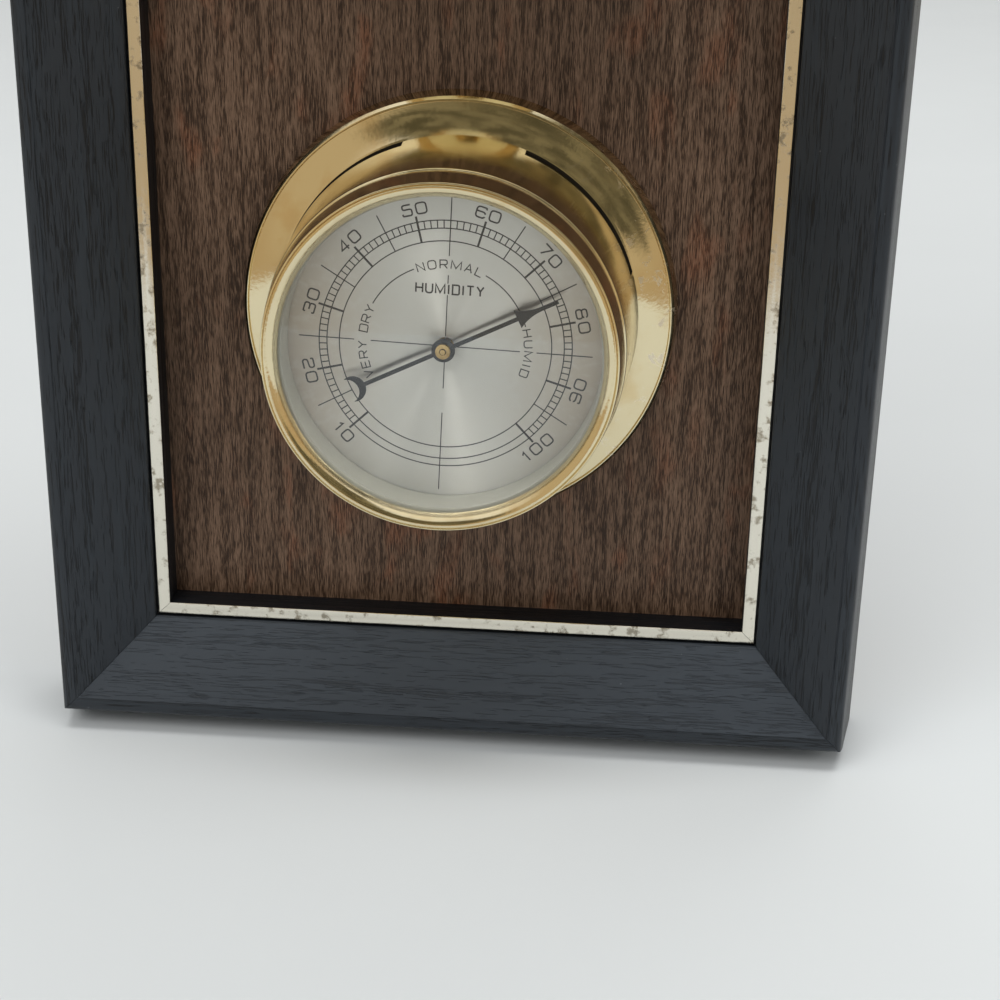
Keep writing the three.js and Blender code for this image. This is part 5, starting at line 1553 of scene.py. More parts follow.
@dataclass
class DialPrint:
    """Rings, marks, figures and words printed on a dial, in millimetres from its centre."""

    face: float = 31.2
    ink: float = 0.02
    ring_radii: Triple = (27.53, 25.82, 23.10)
    ring_line: float = 0.25
    bold_line: float = 0.46
    bold_reach: float = 28.8
    middle_reach: float = 31.7
    word_radius: float = 18.05
    label_radius: float = 30.4
    label_height: float = 2.35
    label_line: float = 0.35
    upright_deg: float = 100.0
    word_height: float = 1.8
    word_line: float = 0.25
    word_margin_deg: float = 2.2
    title_height: float = 2.05
    title_line: float = 0.36
    title_at: Pair = (0.45, 12.6)
    axis_reach: float = 33.2
    axis_side_reach: float = 32.0
    axis_gap: Pair = (9.6, 15.2)
    hub_gap: float = 2.2
    ring_steps: int = 240

    @property
    def levels(self) -> Pair:
        """Depths of the back and the front of the ink."""
        return self.face + self.ink / 2, self.face + 1.5 * self.ink

    def ring(self, radius: float, line: float, arc: Pair = (0.0, 360.0)) -> list[Patch]:
        """Draws a printed ring or an arc of one.

        Args:
            radius: middle radius.
            line: width of the line.
            arc: start and end, in degrees clockwise from the top.

        Returns:
            The patches of the line.
        """
        whole = arc[1] - arc[0] >= 360
        count = max(6, round(self.ring_steps * (arc[1] - arc[0]) / 360))
        angle = np.radians(np.linspace(arc[0], arc[1], count, endpoint=not whole))
        path = radius * np.stack([np.sin(angle), np.cos(angle)], axis=1)
        return ribbon(path, line, *self.levels, closed=whole)

    def rays(self, angles: Array, inner: float, outer: float, line: float) -> Patch:
        """Draws straight marks from one radius to another at the given angles.

        Args:
            angles: clockwise from the top, in radians.
            inner: radius where they start.
            outer: radius where they end.
            line: width of the line.

        Returns:
            One patch with all the marks.
        """
        low = np.tile([-line / 2, inner, self.levels[0]], (len(angles), 1))
        high = np.tile([line / 2, outer, self.levels[1]], (len(angles), 1))
        return boxes(low, high, angles)

    def word_arcs(self, scale: Scale, lettering: Lettering) -> list[Patch]:
        """Draws the arcs of the word ring between neighbouring words over the top of the dial.

        Args:
            scale: the dial's scale.
            lettering: lettering of the words.

        Returns:
            The patches of the arcs.
        """
        spans = []
        for word in scale.words:
            long = lettering.middles(word.text, word.spread)[1]
            half = math.degrees(long / 2 / self.word_radius) + self.word_margin_deg
            spans.append((word.angle - half, word.angle + half))
        spans.sort()
        patches: list[Patch] = []
        for (_, end), (start, _) in zip(spans, spans[1:]):
            patches += self.ring(self.word_radius, self.ring_line, (end, start))
        return patches

    def axes(self) -> list[Patch]:
        """Draws the upright and level hairlines, which stop at the hub, the words and the lower middle."""
        word_low = self.word_radius - self.word_height
        word_high = self.word_radius + self.word_height
        beside = 0.62 * self.title_height
        spans = [
            (0, self.hub_gap, self.title_at[1] - beside), (0, word_high, self.axis_reach),
            (0, self.title_at[1] + beside, self.word_radius - 1.3 * self.word_height),
            (180, self.hub_gap, self.axis_gap[0]), (180, self.axis_gap[1], self.axis_reach),
            (90, self.hub_gap, word_low), (90, word_high, self.axis_side_reach),
            (270, self.hub_gap, word_low), (270, word_high, self.axis_side_reach),
        ]
        line = self.ring_line * 0.9
        return [self.rays(np.radians([angle]), inner, outer, line) for angle, inner, outer in spans]

    def build(self, name: str, scale: Scale, placement: Placement) -> None:
        """Prints one dial.

        Args:
            name: name of the instrument.
            scale: its scale.
            placement: its local frame.
        """
        outer, inner, foot = self.ring_radii
        patches: list[Patch] = []
        for radius in self.ring_radii:
            patches += self.ring(radius, self.ring_line)
        fine = scale.marks(scale.fine, scale.middle)
        middle = scale.marks(scale.middle, scale.bold)
        bold = scale.marks(scale.bold)
        patches.append(self.rays(fine, inner, outer, self.ring_line))
        patches.append(self.rays(middle, foot, self.middle_reach, self.ring_line))
        patches.append(self.rays(bold, foot, self.bold_reach, self.bold_line))
        figures = Lettering(self.label_height, self.label_line, *self.levels)
        for value, text in scale.labels:
            angle = (value - scale.top) * scale.degrees
            turn = angle if abs(angle) < self.upright_deg else angle + 180
            x = self.label_radius * math.sin(math.radians(angle))
            y = self.label_radius * math.cos(math.radians(angle))
            patches += figures.straight(text, (x, y), math.radians(turn))
        words = Lettering(self.word_height, self.word_line, *self.levels)
        for word in scale.words:
            patches += words.curved(word.text, self.word_radius, word.angle, word.spread)
        patches += self.word_arcs(scale, words)
        title = Lettering(self.title_height, self.title_line, *self.levels, stretch=0.7, gap=0.34)
        patches += title.straight(scale.title, self.title_at)
        patches += self.axes()
        build(f"{name}_print", patches, placement, [INK])


# Instruments


@dataclass
class Porthole:
    """The shell that the three instruments share: drum, bezel, lens, spacer ring, dial and screws."""

    name: str
    scale: Scale
    lean_deg: float = 0.0
    lens_bore: float = 0.0
    turn_steps: int = 224
    flange_r: float = 50.6
    rim_height: float = 6.2
    rim_width: float = 2.2
    rim_lean: float = 0.8
    groove: float = 0.05
    dish: float = 5.6
    dish_top: float = 8.3
    dish_bend: float = 3.4
    dish_bend_rise: float = 0.5
    drum_r: float = 41.6
    nose_r: float = 39.4
    nose_round: float = 0.5
    sheet: float = 0.4
    wall: float = 0.9
    shoulder: float = 36.0
    neck_r: float = 37.4
    neck_top: float = 40.2
    lip: float = 2.9
    seat: float = 0.2
    slot_low: float = 8.3
    slot_high: float = 12.2
    slot_arc: float = 51.0
    slot_count: int = 4
    bezel_rear: float = 37.2
    bezel_crest: float = 44.7
    bezel_r: float = 39.1
    bezel_waist_r: float = 38.2
    bezel_line_r: float = 37.65
    bezel_lip_r: float = 34.8
    bezel_play: float = 0.3
    bezel_groove: float = 0.5
    lens_r: float = 37.2
    lens_depth: Pair = (40.4, 41.7)
    lens_crown: float = 0.3
    spacer: tuple[float, float, float, float] = (34.4, 36.2, 31.4, 40.2)
    dial: Triple = (36.2, 30.7, 31.2)
    dial_hole: float = 2.0
    screw_head_r: float = 3.4
    screw_head: float = 2.2
    screw_back: float = -5.6
    screw_shank_r: float = 1.5
    screw_tip: float = 8.0
    screw_cross: float = 0.9
    cross_half: float = 0.42
    screw_dome: float = 0.55
    screw_steps: int = 72
    post_reach: float = 31.0

    @property
    def placement(self) -> Placement:
        """Local frame: x to the right, y up and z forward from the panel's face, leaning clockwise."""
        low, high = box(f"{self.name}_dial_plate")
        face = box("wood_panel")[0][1]
        lean = math.radians(self.lean_deg)
        right = np.array([math.cos(lean), 0.0, -math.sin(lean)])
        up = np.array([math.sin(lean), 0.0, math.cos(lean)])
        origin = np.array([0.0, face, (low[2] + high[2]) / 2])
        return Placement(origin, np.stack([right, up, np.array([0.0, -1.0, 0.0])]))

    def dish_face(self) -> Array:
        """Returns the flange's dish: one quadratic curve from the valley by the rim up to the drum."""
        valley = np.array([self.flange_r - self.rim_width, self.dish])
        bend = np.array([self.drum_r + self.dish_bend, self.dish + self.dish_bend_rise])
        top = np.array([self.drum_r, self.dish_top])
        return curve(np.linspace(0, 1, 15)[:, None], valley, bend, top)

    def shell_profile(self) -> tuple[Array, Array]:
        """Draws the shell's section from the flange's back round its front, drum and neck to the bore.

        Returns:
            The points, and the numbers of the four that bound the slots: outer low, outer high, inner
            high, inner low.
        """
        crest = self.flange_r - self.rim_lean
        top = self.rim_height
        bore = self.drum_r - self.sheet
        neck_bore = self.neck_r - self.wall
        nose_bore = self.nose_r - self.sheet
        nose_depth = self.shoulder - self.nose_round
        shelf = self.shoulder + self.wall
        lip_top = self.seat + 1.0
        dish = self.dish_face()
        valley_r, valley = dish[0]
        rim = softened(np.array([
            (self.flange_r - 0.4, self.seat), (self.flange_r, self.seat + 0.4), (crest - 0.05, top - 0.7),
            (crest - 0.7, top - 0.14), (crest - 0.95, top - 0.05), (valley_r + 0.25, valley - 0.05),
            (valley_r + 0.05, valley - self.groove / 2), (valley_r - 0.2, valley + self.groove / 2),
            dish[1],
        ]), [0.1, 0.2, 0.08, 0.08, 0.08, 0.08, 0.05, 0.12, 0.1], steps=6, closed=False)
        outer = np.array([self.slot_low, self.slot_high])
        outer_r = np.interp(outer, [self.dish_top, nose_depth], [self.drum_r, self.nose_r])
        front = np.vstack([rim, dish[2:], [(outer_r[0], outer[0])]])
        slot = np.array([(outer_r[1], outer[1])])
        drum = softened(np.array([
            (outer_r[1] - 0.04, outer[1] + 0.5), (self.nose_r + 0.02, nose_depth),
            (self.nose_r - self.nose_round, nose_depth + 0.3), (self.nose_r - self.nose_round - 0.1, shelf),
            (self.neck_r, shelf), (self.neck_r, self.neck_top), (neck_bore, self.neck_top),
            (neck_bore, self.shoulder), (nose_bore - 0.6, self.shoulder), (nose_bore, nose_depth - 0.5),
            (bore - 0.64, self.slot_high + 0.5),
        ]), [0, 0.35, 0.15, 0.15, 0.15, 0.15, 0.15, 0.1, 0.2, 0.2, 0], steps=5, closed=False)
        bore_r = np.interp(outer, [lip_top, nose_depth], [bore, nose_bore])
        inner = np.array([(bore_r[1], outer[1]), (bore_r[0], outer[0]), (bore, lip_top)])
        under = dish[::-1] - [0, self.sheet]
        foot = np.vstack([
            [(bore - self.lip, lip_top), (bore - self.lip, self.seat), (self.drum_r, self.seat)], under,
            [(crest - self.wall, self.dish - 0.7), (self.flange_r - self.wall, self.seat)],
        ])
        profile = np.vstack([front, slot, drum, inner, foot])
        outer_low = len(front) - 1
        inner_high = len(front) + len(slot) + len(drum)
        return profile, np.array([outer_low, outer_low + 1, inner_high, inner_high + 1])

    def shell(self) -> list[Patch]:
        """Turns the drum's section and opens the vent slots.

        The faces of the outer and inner wall between the slots' two depths are left out over each slot's
        arc. Their rims are bridged: along both depths from the outer to the inner wall, and across at both
        ends of the arc.

        Returns:
            The patches of the shell.
        """
        profile, (outer_low, outer_high, inner_high, inner_low) = self.shell_profile()
        steps = self.turn_steps
        whole = turned(profile, steps, True)
        faces = whole.faces.reshape(len(profile), steps, 4)
        column = np.arange(steps)
        degrees = column * 360 / steps
        pitch = 360 / self.slot_count
        from_middle = np.abs((degrees + 180 / steps) % pitch - pitch / 2)
        is_open = from_middle < self.slot_arc / 2
        keep = np.ones((len(profile), steps), bool)
        keep[outer_low, is_open] = False
        keep[inner_high, is_open] = False
        left = column[is_open]
        right = (left + 1) % steps
        dark = faces[inner_high:inner_low + 3][keep[inner_high:inner_low + 3]]
        keep[inner_high:inner_low + 3] = False
        bridges = [np.stack([outer * steps + left, outer * steps + right, inner * steps + right,
                             inner * steps + left], axis=1)
                   for outer, inner in ((outer_low, inner_low), (outer_high, inner_high))]
        starts = column[is_open & ~np.roll(is_open, 1)]
        ends = (column[is_open & ~np.roll(is_open, -1)] + 1) % steps
        edges = np.concatenate([starts, ends])
        rows = [outer_low, outer_high, inner_high, inner_low]
        jambs = np.stack([row * steps + edges for row in rows], axis=1)
        # The inner wall, the bridges and the jambs get the second finish: near-black painted shade, so the
        # slots and the inside of the case read dark.
        shaded = np.vstack([dark, *bridges, jambs])
        return [Patch(whole.points, faces[keep]), Patch(whole.points, shaded, 1)]

    def bezel_profile(self) -> Array:
        """Draws the bezel: a fine bead, a groove, a rounded crest and a bevel down to the lens.

        Returns:
            The points of the section.
        """
        under = self.lens_depth[1] + self.bezel_play
        sleeve = self.neck_r + self.bezel_play
        rear, crest, line_r = self.bezel_rear, self.bezel_crest, self.bezel_line_r
        line = crest - self.bezel_groove
        corners = np.array([
            (self.bezel_r - 0.3, rear), (self.bezel_r, rear + 0.6), (self.bezel_waist_r, line - 0.4),
            (self.bezel_waist_r - 0.1, line + 0.1), (line_r + 0.15, line + 0.2), (line_r, line - 0.1),
            (line_r - 0.15, line + 0.2), (line_r - 0.3, crest), (line_r - 0.9, crest),
            (line_r - 1.45, crest - 0.25), (line_r - 2.25, crest - 1.05), (self.bezel_lip_r, under + 0.5),
            (self.bezel_lip_r, under), (sleeve, under), (sleeve, rear),
        ])
        reach = [0.15, 0.25, 0.2, 0.15, 0.12, 0.05, 0.12, 0.3, 0.3, 0.4, 0.5, 0.2, 0.1, 0.1, 0.15]
        return softened(corners, reach, steps=5)

    def lens_profile(self) -> Array:
        """Draws the lens: flat behind, and in front a shallow crown h (1 - (r / R)^2) on a flat rim.

        Returns:
            The points of the section.
        """
        low, high = self.lens_depth
        crown_r = self.bezel_lip_r - 1
        radius = np.linspace(crown_r, self.lens_bore, 24)
        crown = high + self.lens_crown * (1 - (radius / crown_r) ** 2)
        rim = [(self.lens_bore, low), (self.lens_r, low), (self.lens_r, high)]
        return np.vstack([rim, np.stack([radius, crown], axis=1)])

    def screw(self, end: str, way: int) -> None:
        """Builds a pan-head screw whose face is a dome with a pressed cross.

        Depth of the head at radius r: the back of the head plus a dome h (1 - (r / R)^4), less the cross,
        which is a groove of constant depth where the point is nearer than half a slot to either axis.

        Args:
            end: top or bottom.
            way: 1 above the centre, -1 below it.
        """
        head = self.screw_back + self.screw_head
        outer = self.screw_head_r
        radius = np.append(np.linspace(0, outer * 0.96, 26), outer)
        foot = np.array([(outer, head), (self.screw_shank_r, head), (self.screw_shank_r, self.screw_tip),
                         (0.0, self.screw_tip)])
        dome = self.screw_back + (radius / outer) ** 4 * self.screw_head * self.screw_dome
        patch = turned(np.vstack([np.stack([radius, dome], axis=1), foot]), self.screw_steps, False)
        points = patch.points
        beside = np.min(np.abs(points[:, :2]), axis=1)
        in_cross = (beside < self.cross_half) & (np.hypot(points[:, 0], points[:, 1]) < outer * 0.58)
        in_cross &= np.arange(len(points)) < len(radius) * self.screw_steps
        points = points + np.outer(in_cross, [0, 0, self.screw_cross]) + [0, way * self.post_reach, 0]
        build(f"{self.name}_pan_screw_{end}", [Patch(points, patch.faces)], self.placement, [STEEL],
              f"{self.name}_screw_{end}", smooth_deg=40)

    def build(self) -> None:
        """Builds the instrument's shell, its dial and the print."""
        name, placement = self.name, self.placement
        build(f"{name}_spun_case", self.shell(), placement, [BRASS, INNER_SHADE], f"{name}_case", smooth_deg=40)
        bezel = turned(self.bezel_profile(), self.turn_steps, True)
        build(f"{name}_turned_bezel", [bezel], placement, [BRASS], f"{name}_bezel", smooth_deg=50)
        lens = turned(self.lens_profile(), 160, self.lens_bore > 0)
        build(f"{name}_glass", [lens], placement, [GLASS], f"{name}_lens")
        ring = turned(ring_section(*self.spacer, 0.2), 192, True)
        build(f"{name}_inner_ring", [ring], placement, [SPACER], f"{name}_spacer_ring")
        self.build_dial(placement)
        for end, way in (("top", 1), ("bottom", -1)):
            self.screw(end, way)
        dress(MILL_BRASS, f"{name}_back_plate")
        DialPrint(face=self.dial[2]).build(name, self.scale, placement)

    def build_dial(self, placement: Placement) -> None:
        """Builds the dial as a thin pierced disc with enough rings for its brushed sheen.

        Args:
            placement: the instrument's local frame.
        """
        rim, low, high = self.dial
        radii = np.linspace(self.dial_hole, rim, 14)
        front = np.stack([radii, np.full(len(radii), high)], axis=1)
        back = np.stack([radii[::-1], np.full(len(radii), low)], axis=1)
        disc = turned(np.vstack([front, back]), 180, True)
        build(f"{self.name}_silvered_dial", [disc], placement, [DIAL], f"{self.name}_dial_plate")


@dataclass
class Pointer:
    """Enamelled arrow pointer with a crescent tail, and its brass bush on the arbor."""

    name: str
    body: str
    placement: Placement
    reading_deg: float
    face: float = 35.0
    thickness: float = 0.4
    tip: float = 27.1
    hub_r: float = 2.55
    shaft: float = 0.88
    barb_at: float = 17.6
    barb_width: float = 4.2
    barb_length: float = 5.4
    crescent_at: float = 21.8
    crescent_r: float = 2.85
    crescent_thickness: float = 1.6
    bush_r: float = 1.65
    bush_depth: Pair = (33.8, 36.0)
    arbor_r: float = 0.6

    @staticmethod
    def arc(centre: float, radius: float, start: float, end: float, count: int = 40) -> Array:
        """Points of an arc about a place on the pointer's line, from one angle to another in radians."""
        angle = np.linspace(start, end, count)
        return np.stack([radius * np.cos(angle), centre + radius * np.sin(angle)], axis=1)

    def outline(self) -> Array:
        """Draws the pointer pointing up.

        The head narrows along a quadratic curve from the barbs to the shaft. The tail is a disc less a
        smaller disc that is moved outward, which leaves a crescent open to the outside.

        Returns:
            The corners of the outline, in order.
        """
        half = self.shaft / 2
        join = math.acos(half / self.hub_r)
        shift = (self.crescent_r - self.crescent_thickness / 2) * 0.72
        hollow_r = self.crescent_r + shift - self.crescent_thickness
        along = (self.crescent_r ** 2 + shift ** 2 - hollow_r ** 2) / (2 * shift)
        horn = math.acos(along / self.crescent_r)
        horn_inner = math.atan2(self.crescent_r * math.sin(horn), along - shift)
        tail = math.asin(half / self.crescent_r)
        up = math.pi / 2
        barb = np.array([self.barb_width / 2, self.barb_at])
        bend = np.array([half * 1.2, self.barb_at + self.barb_length * 0.45])
        neck = np.array([half, self.barb_at + self.barb_length])
        head = curve(np.linspace(0, 1, 12)[:, None], barb, bend, neck)
        mirrored = head[::-1] * [-1, 1]
        return np.vstack([
            [[half, self.barb_at]], head, [[half, self.tip], [-half, self.tip]], mirrored,
            [[-half, self.barb_at]],
            self.arc(0, self.hub_r, math.pi - join, math.pi + join),
            self.arc(-self.crescent_at, self.crescent_r, up + tail, up + math.pi - horn),
            self.arc(-self.crescent_at - shift, hollow_r, up + math.pi - horn_inner, horn_inner - up)[1:-1],
            self.arc(-self.crescent_at, self.crescent_r, horn - up, up - tail),
            self.arc(0, self.hub_r, -join, join),
        ])

    def turned_placement(self) -> Placement:
        """Local frame turned clockwise to the reading."""
        turn = math.radians(self.reading_deg)
        cos, sin = math.cos(turn), math.sin(turn)
        right, up, forward = self.placement.axes
        axes = np.stack([right * cos - up * sin, up * cos + right * sin, forward])
        return Placement(self.placement.origin, axes)

    def build(self) -> None:
        """Builds the blade and the bush, and dresses the arbor."""
        placement = self.turned_placement()
        blade = plate(self.outline(), self.face - self.thickness, self.face)
        build(f"{self.name}_arrow", blade, placement, [ENAMEL], f"{self.name}_pointer", body=self.body,
              smooth_deg=40, bevel_mm=0.06)
        bush = turned(ring_section(self.arbor_r + 0.1, self.bush_r, *self.bush_depth, 0.18), 96, True)
        build(f"{self.name}_bush", [bush], placement, [MILL_BRASS], body=self.body)
        dress(MILL_BRASS, f"{self.name}_arbor")


@dataclass
class SettingHand:
    """Brass hand of the barometer that is turned by a knurled knob through the lens."""

    placement: Placement
    reading_deg: float
    body: str = "barometer_setting"
    depth: float = 38.2
    thickness: float = 0.5
    tip: float = 26.0
    tail: float = 9.0
    root_width: float = 1.41
    tip_width: float = 0.7
    tail_width: float = 2.1
    hub_r: float = 2.2
    hub: Pair = (38.0, 39.8)
    shaft_r: float = 1.1
    knob_from: float = 42.3
    neck_r: float = 2.0
    neck: float = 1.2
    knob_r: float = 4.0
    knob_top: float = 46.5
    knurls: int = 36
    knurl_depth: float = 0.16

    def knob(self) -> Patch:
        """Draws knob and shaft, turned, with a knurled edge.

        Radius on the edge: R - h (1 - |cos(n a / 2)|), so n rounded ribs stand round the knob; elsewhere
        the turned radius.

        Returns:
            The patch of the knob.
        """
        base = self.knob_from + self.neck
        corners = np.array([
            (0, self.hub[0]), (self.shaft_r, self.hub[0]), (self.shaft_r, self.knob_from),
            (self.neck_r, self.knob_from), (self.neck_r, base), (self.knob_r, base + 0.5),
            (self.knob_r, self.knob_top - 0.5), (self.knob_r - 0.7, self.knob_top),
            (0, self.knob_top - 0.25),
        ])
        profile = softened(corners, [0, 0.1, 0.1, 0.1, 0.3, 0.3, 0.35, 0.35, 0], steps=5, closed=False)
        steps = self.knurls * 8
        patch = turned(profile, steps, False)
        radius = np.linalg.norm(patch.points[:, :2], axis=1)
        angle = np.arctan2(patch.points[:, 1], patch.points[:, 0])
        on_edge = np.clip((radius - self.knob_r + 0.45) / 0.4, 0, 1) * (patch.points[:, 2] > base)
        ribs = self.knurl_depth * (1 - np.abs(np.cos(self.knurls * angle / 2))) * on_edge
        factor = (radius - ribs) / np.maximum(radius, 1e-6)
        points = patch.points * np.stack([factor, factor, np.ones_like(factor)], axis=1)
        return Patch(points, patch.faces)

    def build(self) -> None:
        """Builds the hand and the knob."""
        pointer = Pointer("barometer", self.body, self.placement, self.reading_deg)
        placement = pointer.turned_placement()
        outline = np.array([
            (self.root_width / 2, 0), (self.tip_width / 2, self.tip), (-self.tip_width / 2, self.tip),
            (-self.root_width / 2, 0), (-self.tail_width / 2, -self.tail),
            (self.tail_width / 2, -self.tail),
        ])
        blade = plate(outline, self.depth, self.depth + self.thickness)
        hub = turned(ring_section(self.shaft_r + 0.15, self.hub_r, *self.hub, 0.2), 96, True)
        build("barometer_brass_set_hand", [*blade, hub], placement, [BRASS], "barometer_set_hand",
              body=self.body, bevel_mm=0.06)
        build("barometer_knurled_knob", [self.knob()], placement, [BRASS], "barometer_set_knob",
              body=self.body, smooth_deg=50)


@dataclass
class WeatherStation:
    """The whole object, from the frame to the movements behind the dials."""

    readings: dict[str, float] = field(default_factory=lambda: {
        "thermometer": 27.0, "barometer": 36.0, "hygrometer": 62.1,
    })
    set_hand_deg: float = 18.0
    hygrometer_lean: float = 2.1

    def build(self) -> None:
        """Builds every sub-assembly in order."""
        PictureFrame().build()
        dress(BOARD, "wood_panel")
        HangingKit().build()
        instruments = [
            Porthole("thermometer", TEMPERATURE),
            Porthole("barometer", PRESSURE, lens_bore=1.25),
            Porthole("hygrometer", HUMIDITY, lean_deg=self.hygrometer_lean),
        ]
        for instrument in instruments:
            instrument.build()
            Pointer(instrument.name, f"{instrument.name}_movement", instrument.placement,
                    self.readings[instrument.name]).build()
        SettingHand(instruments[1].placement, self.set_hand_deg).build()
        dress(MILL_BRASS, "thermometer_bridge", "thermometer_coil_anchor", "hygrometer_bridge",
              "hygrometer_coil_anchor", "barometer_rear_plate", "barometer_front_plate",
              "barometer_sector_gear")
        dress(BRONZE, "thermometer_coil", "barometer_capsule")
        dress(STRIP, "hygrometer_coil")
        dress(STEEL, "barometer_rocker", "barometer_hairspring")


# Studio


@dataclass(frozen=True)
class Lamp:
    """A soft box: where it stands and points, its size and power, and which pieces alone it lights."""

    name: str
    at: Triple
    towards: Triple
    size: Pair
    watts: float
    lit: Optional[bpy.types.Collection] = None

    def build(self) -> None:
        """Adds the lamp to the scene; metal shows it only if it lights chosen pieces."""
        light = bpy.data.lights.new(self.name, "AREA")
        light.shape = "RECTANGLE"
        light.size, light.size_y = self.size
        light.energy = self.watts
        lamp = bpy.data.objects.new(self.name, light)
        bpy.context.scene.collection.objects.link(lamp)
        direction = Vector(self.towards) - Vector(self.at)
        lamp.visible_glossy = self.lit is not None
        if self.lit is not None:
            lamp.light_linking.receiver_collection = self.lit
        lamp.location = self.at
        lamp.rotation_euler = direction.to_track_quat("-Z", "Y").to_euler()


@dataclass
class Studio:
    """Pale table, soft boxes, pale surroundings and the camera at the photograph's angle."""

    table_half: float = 3.0
    table_front: float = -0.44
    camera_at: Triple = (0.04053, -0.4128, -0.2313)
    pitch: float = 0.3707
    yaw: float = 0.0696
    roll: float = 0.0472
    lens_mm: float = 64.6
    sensor_mm: float = 36.0
    light_colour: str = "#f4f6f7"
    light_strength: float = 0.4
    backdrop_colour: str = "#dcdfdf"
    sky_colour: str = "#fbfaf6"
    wall_colour: str = "#c6b597"
    low_colour: str = "#baa482"
    wall_from: Pair = (-0.25, 0.1)
    sky_from: Pair = (0.5, 0.85)
    room_colours: tuple[str, str] = ("#4f4a3a", "#8b8268")
    room_towards: Triple = (0.243, -0.749, 0.616)
    room_edge: Pair = (0.72, 0.79)
    room_top: Pair = (0.97, 0.90)
    room_ragged: float = 0.16
    top_ragged: float = 0.12

    def table(self, height: float) -> None:
        """Adds the table top at the station's lowest point.

        Args:
            height: its height, in metres.
        """
        half, near = self.table_half, self.table_front
        corners = [(-half, near), (half, near), (half, half), (-half, half)]
        mesh = bpy.data.meshes.new("table")
        mesh.from_pydata([(x, y, height) for x, y in corners], [], [(0, 1, 2, 3)])
        top = bpy.data.objects.new("table", mesh)
        mesh.materials.append(TABLE.material())
        bpy.context.scene.collection.objects.link(top)
        top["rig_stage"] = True

    def world(self) -> None:
        """Adds the surroundings: even light, a pale backdrop, and for metal a darker room in front.

        The room is where the direction's dot product with the room's own direction is high and the
        direction is not too steep, and a noise makes its edge uneven.
        """
        world = bpy.data.worlds.new("surroundings")
        bpy.context.scene.world = world
        world.use_nodes = True
        tree = world.node_tree
        ray = add(tree, "LightPath").outputs
        seen = add(tree, "Math", {
            0: ray["Is Camera Ray"], 1: ray["Is Transmission Ray"],
        }, operation="MAXIMUM")
        direction = add(tree, "TexCoord").outputs["Generated"]
        height = add(tree, "SeparateXYZ", {0: direction}).outputs["Z"]
        above = add(tree, "MapRange", {0: height, 1: self.wall_from[0], 2: self.wall_from[1]}, **SMOOTH)
        walls = add(tree, "Mix", {0: above, 6: self.low_colour, 7: self.wall_colour}, **COLOURS)
        walls = add(tree, "Mix", {
            0: add(tree, "MapRange", {0: height, 1: self.sky_from[0], 2: self.sky_from[1]}, **SMOOTH),
            6: walls, 7: self.sky_colour,
        }, **COLOURS)
        near = add(tree, "VectorMath", {0: direction, 1: self.room_towards}, operation="DOT_PRODUCT")
        ragged = add(tree, "TexNoise", {"Vector": direction, "Scale": 5.0, "Detail": 3.0}).outputs["Fac"]
        around = add(tree, "Math", {0: ragged, 1: self.room_ragged}, operation="MULTIPLY")
        reach = add(tree, "Math", {0: near.outputs["Value"], 1: around}, operation="ADD")
        low, high = (edge + self.room_ragged / 2 for edge in self.room_edge)
        lifted = add(tree, "Math", {
            0: height, 1: add(tree, "Math", {0: ragged, 1: self.top_ragged}, operation="MULTIPLY"),
        }, operation="ADD")
        room = add(tree, "Math", {
            0: add(tree, "MapRange", {0: reach, 1: low, 2: high}, **SMOOTH),
            1: add(tree, "MapRange", {0: lifted, 1: self.room_top[0], 2: self.room_top[1]}, **SMOOTH),
        }, operation="MULTIPLY")
        clutter = add(tree, "TexNoise", {"Vector": direction, "Scale": 11.0, "Detail": 4.0}).outputs["Fac"]
        shelves = add(tree, "Mix", {
            0: add(tree, "MapRange", {0: clutter, 1: 0.42, 2: 0.62}, **SMOOTH), 6: self.room_colours[0],
            7: self.room_colours[1],
        }, **COLOURS)
        mirrored = add(tree, "Mix", {0: room, 6: walls, 7: shelves}, **COLOURS)
        light, metal, backdrop = (
            add(tree, "Background", {"Color": colour, "Strength": strength}).outputs[0]
            for colour, strength in ((self.light_colour, self.light_strength), (mirrored, 1.0),
                                     (self.backdrop_colour, 1.0))
        )
        mixed = add(tree, "MixShader", {0: ray["Is Glossy Ray"], 1: light, 2: metal}).outputs[0]
        mixed = add(tree, "MixShader", {0: seen, 1: mixed, 2: backdrop}).outputs[0]
        tree.links.new(mixed, tree.nodes["World Output"].inputs["Surface"])

    @staticmethod
    def turn(angle: float, first: int, second: int) -> Array:
        """Returns the matrix that turns the first axis towards the second by an angle in radians."""
        matrix = np.eye(3)
        matrix[first, first] = matrix[second, second] = math.cos(angle)
        matrix[second, first] = math.sin(angle)
        matrix[first, second] = -math.sin(angle)
        return matrix

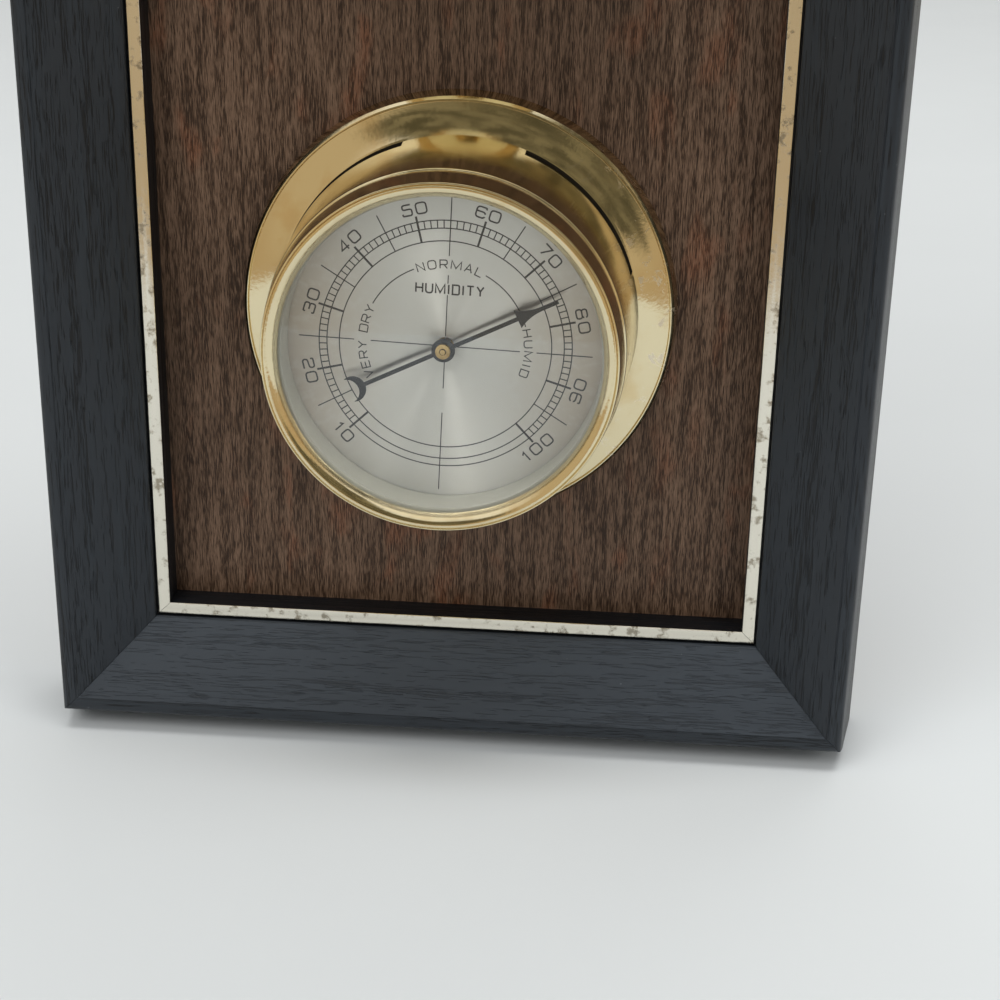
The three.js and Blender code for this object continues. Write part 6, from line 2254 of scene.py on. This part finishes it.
    def camera(self) -> None:
        """Adds the camera.

        Its axes are the rows of roll about z, times yaw about y, times pitch about x, times the change
        from the model's axes to right, down and forward.
        """
        data = bpy.data.cameras.new("camera")
        data.lens = self.lens_mm
        data.sensor_width = self.sensor_mm
        data.sensor_fit = "HORIZONTAL"
        data.clip_start = 0.01
        about_x = self.turn(self.pitch, 1, 2)
        about_y = self.turn(self.yaw, 2, 0)
        about_z = self.turn(self.roll, 0, 1)
        rows = about_z @ about_y @ about_x @ np.array([[1, 0, 0], [0, 0, -1], [0, 1, 0]])
        matrix = np.eye(4)
        matrix[:3, 0] = rows[0]
        matrix[:3, 1] = -rows[1]
        matrix[:3, 2] = -rows[2]
        matrix[:3, 3] = self.camera_at
        camera = bpy.data.objects.new("camera", data)
        bpy.context.scene.collection.objects.link(camera)
        camera.matrix_world = matrix.T.tolist()
        bpy.context.scene.camera = camera

    def lamps(self) -> None:
        """Adds the soft boxes, and two small bulbs that only the dials show."""
        dials = bpy.data.collections.new("dials")
        for piece in bpy.data.objects:
            if piece.name.endswith("_silvered_dial"):
                dials.objects.link(piece)
        middle = (0.0, 0.0, -0.30)
        for lamp in (
            Lamp("key", (-1.3, -2.6, 2.2), middle, (2.2, 1.6), 46.0),
            Lamp("fill", (2.4, -2.2, 0.9), middle, (1.6, 2.0), 30.0),
            Lamp("overhead", (0.2, -0.6, 3.1), middle, (2.6, 1.2), 56.0),
            Lamp("back", (0.6, 2.2, 2.4), (0.4, 1.0, -0.45), (2.6, 2.0), 24.0),
            Lamp("left bulb", (-0.34, -0.75, 0.57), middle, (0.02, 0.02), 0.7, dials),
            Lamp("right bulb", (0.48, -0.75, 0.52), middle, (0.02, 0.02), 0.6, dials),
        ):
            lamp.build()

    def build(self, floor_height: float) -> None:
        """Builds the whole studio.

        Args:
            floor_height: height of the table top, in metres.
        """
        self.camera()
        self.table(floor_height)
        self.world()
        self.lamps()
        bpy.context.scene.view_settings.view_transform = "Standard"


def main() -> None:
    """Builds the station and the studio."""
    logging.basicConfig(level=logging.INFO, format="%(message)s")
    cad_low, cad_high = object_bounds()
    WeatherStation().build()
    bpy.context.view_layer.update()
    Studio().build(float(cad_low[2]))


if __name__ == "__main__":
    main()
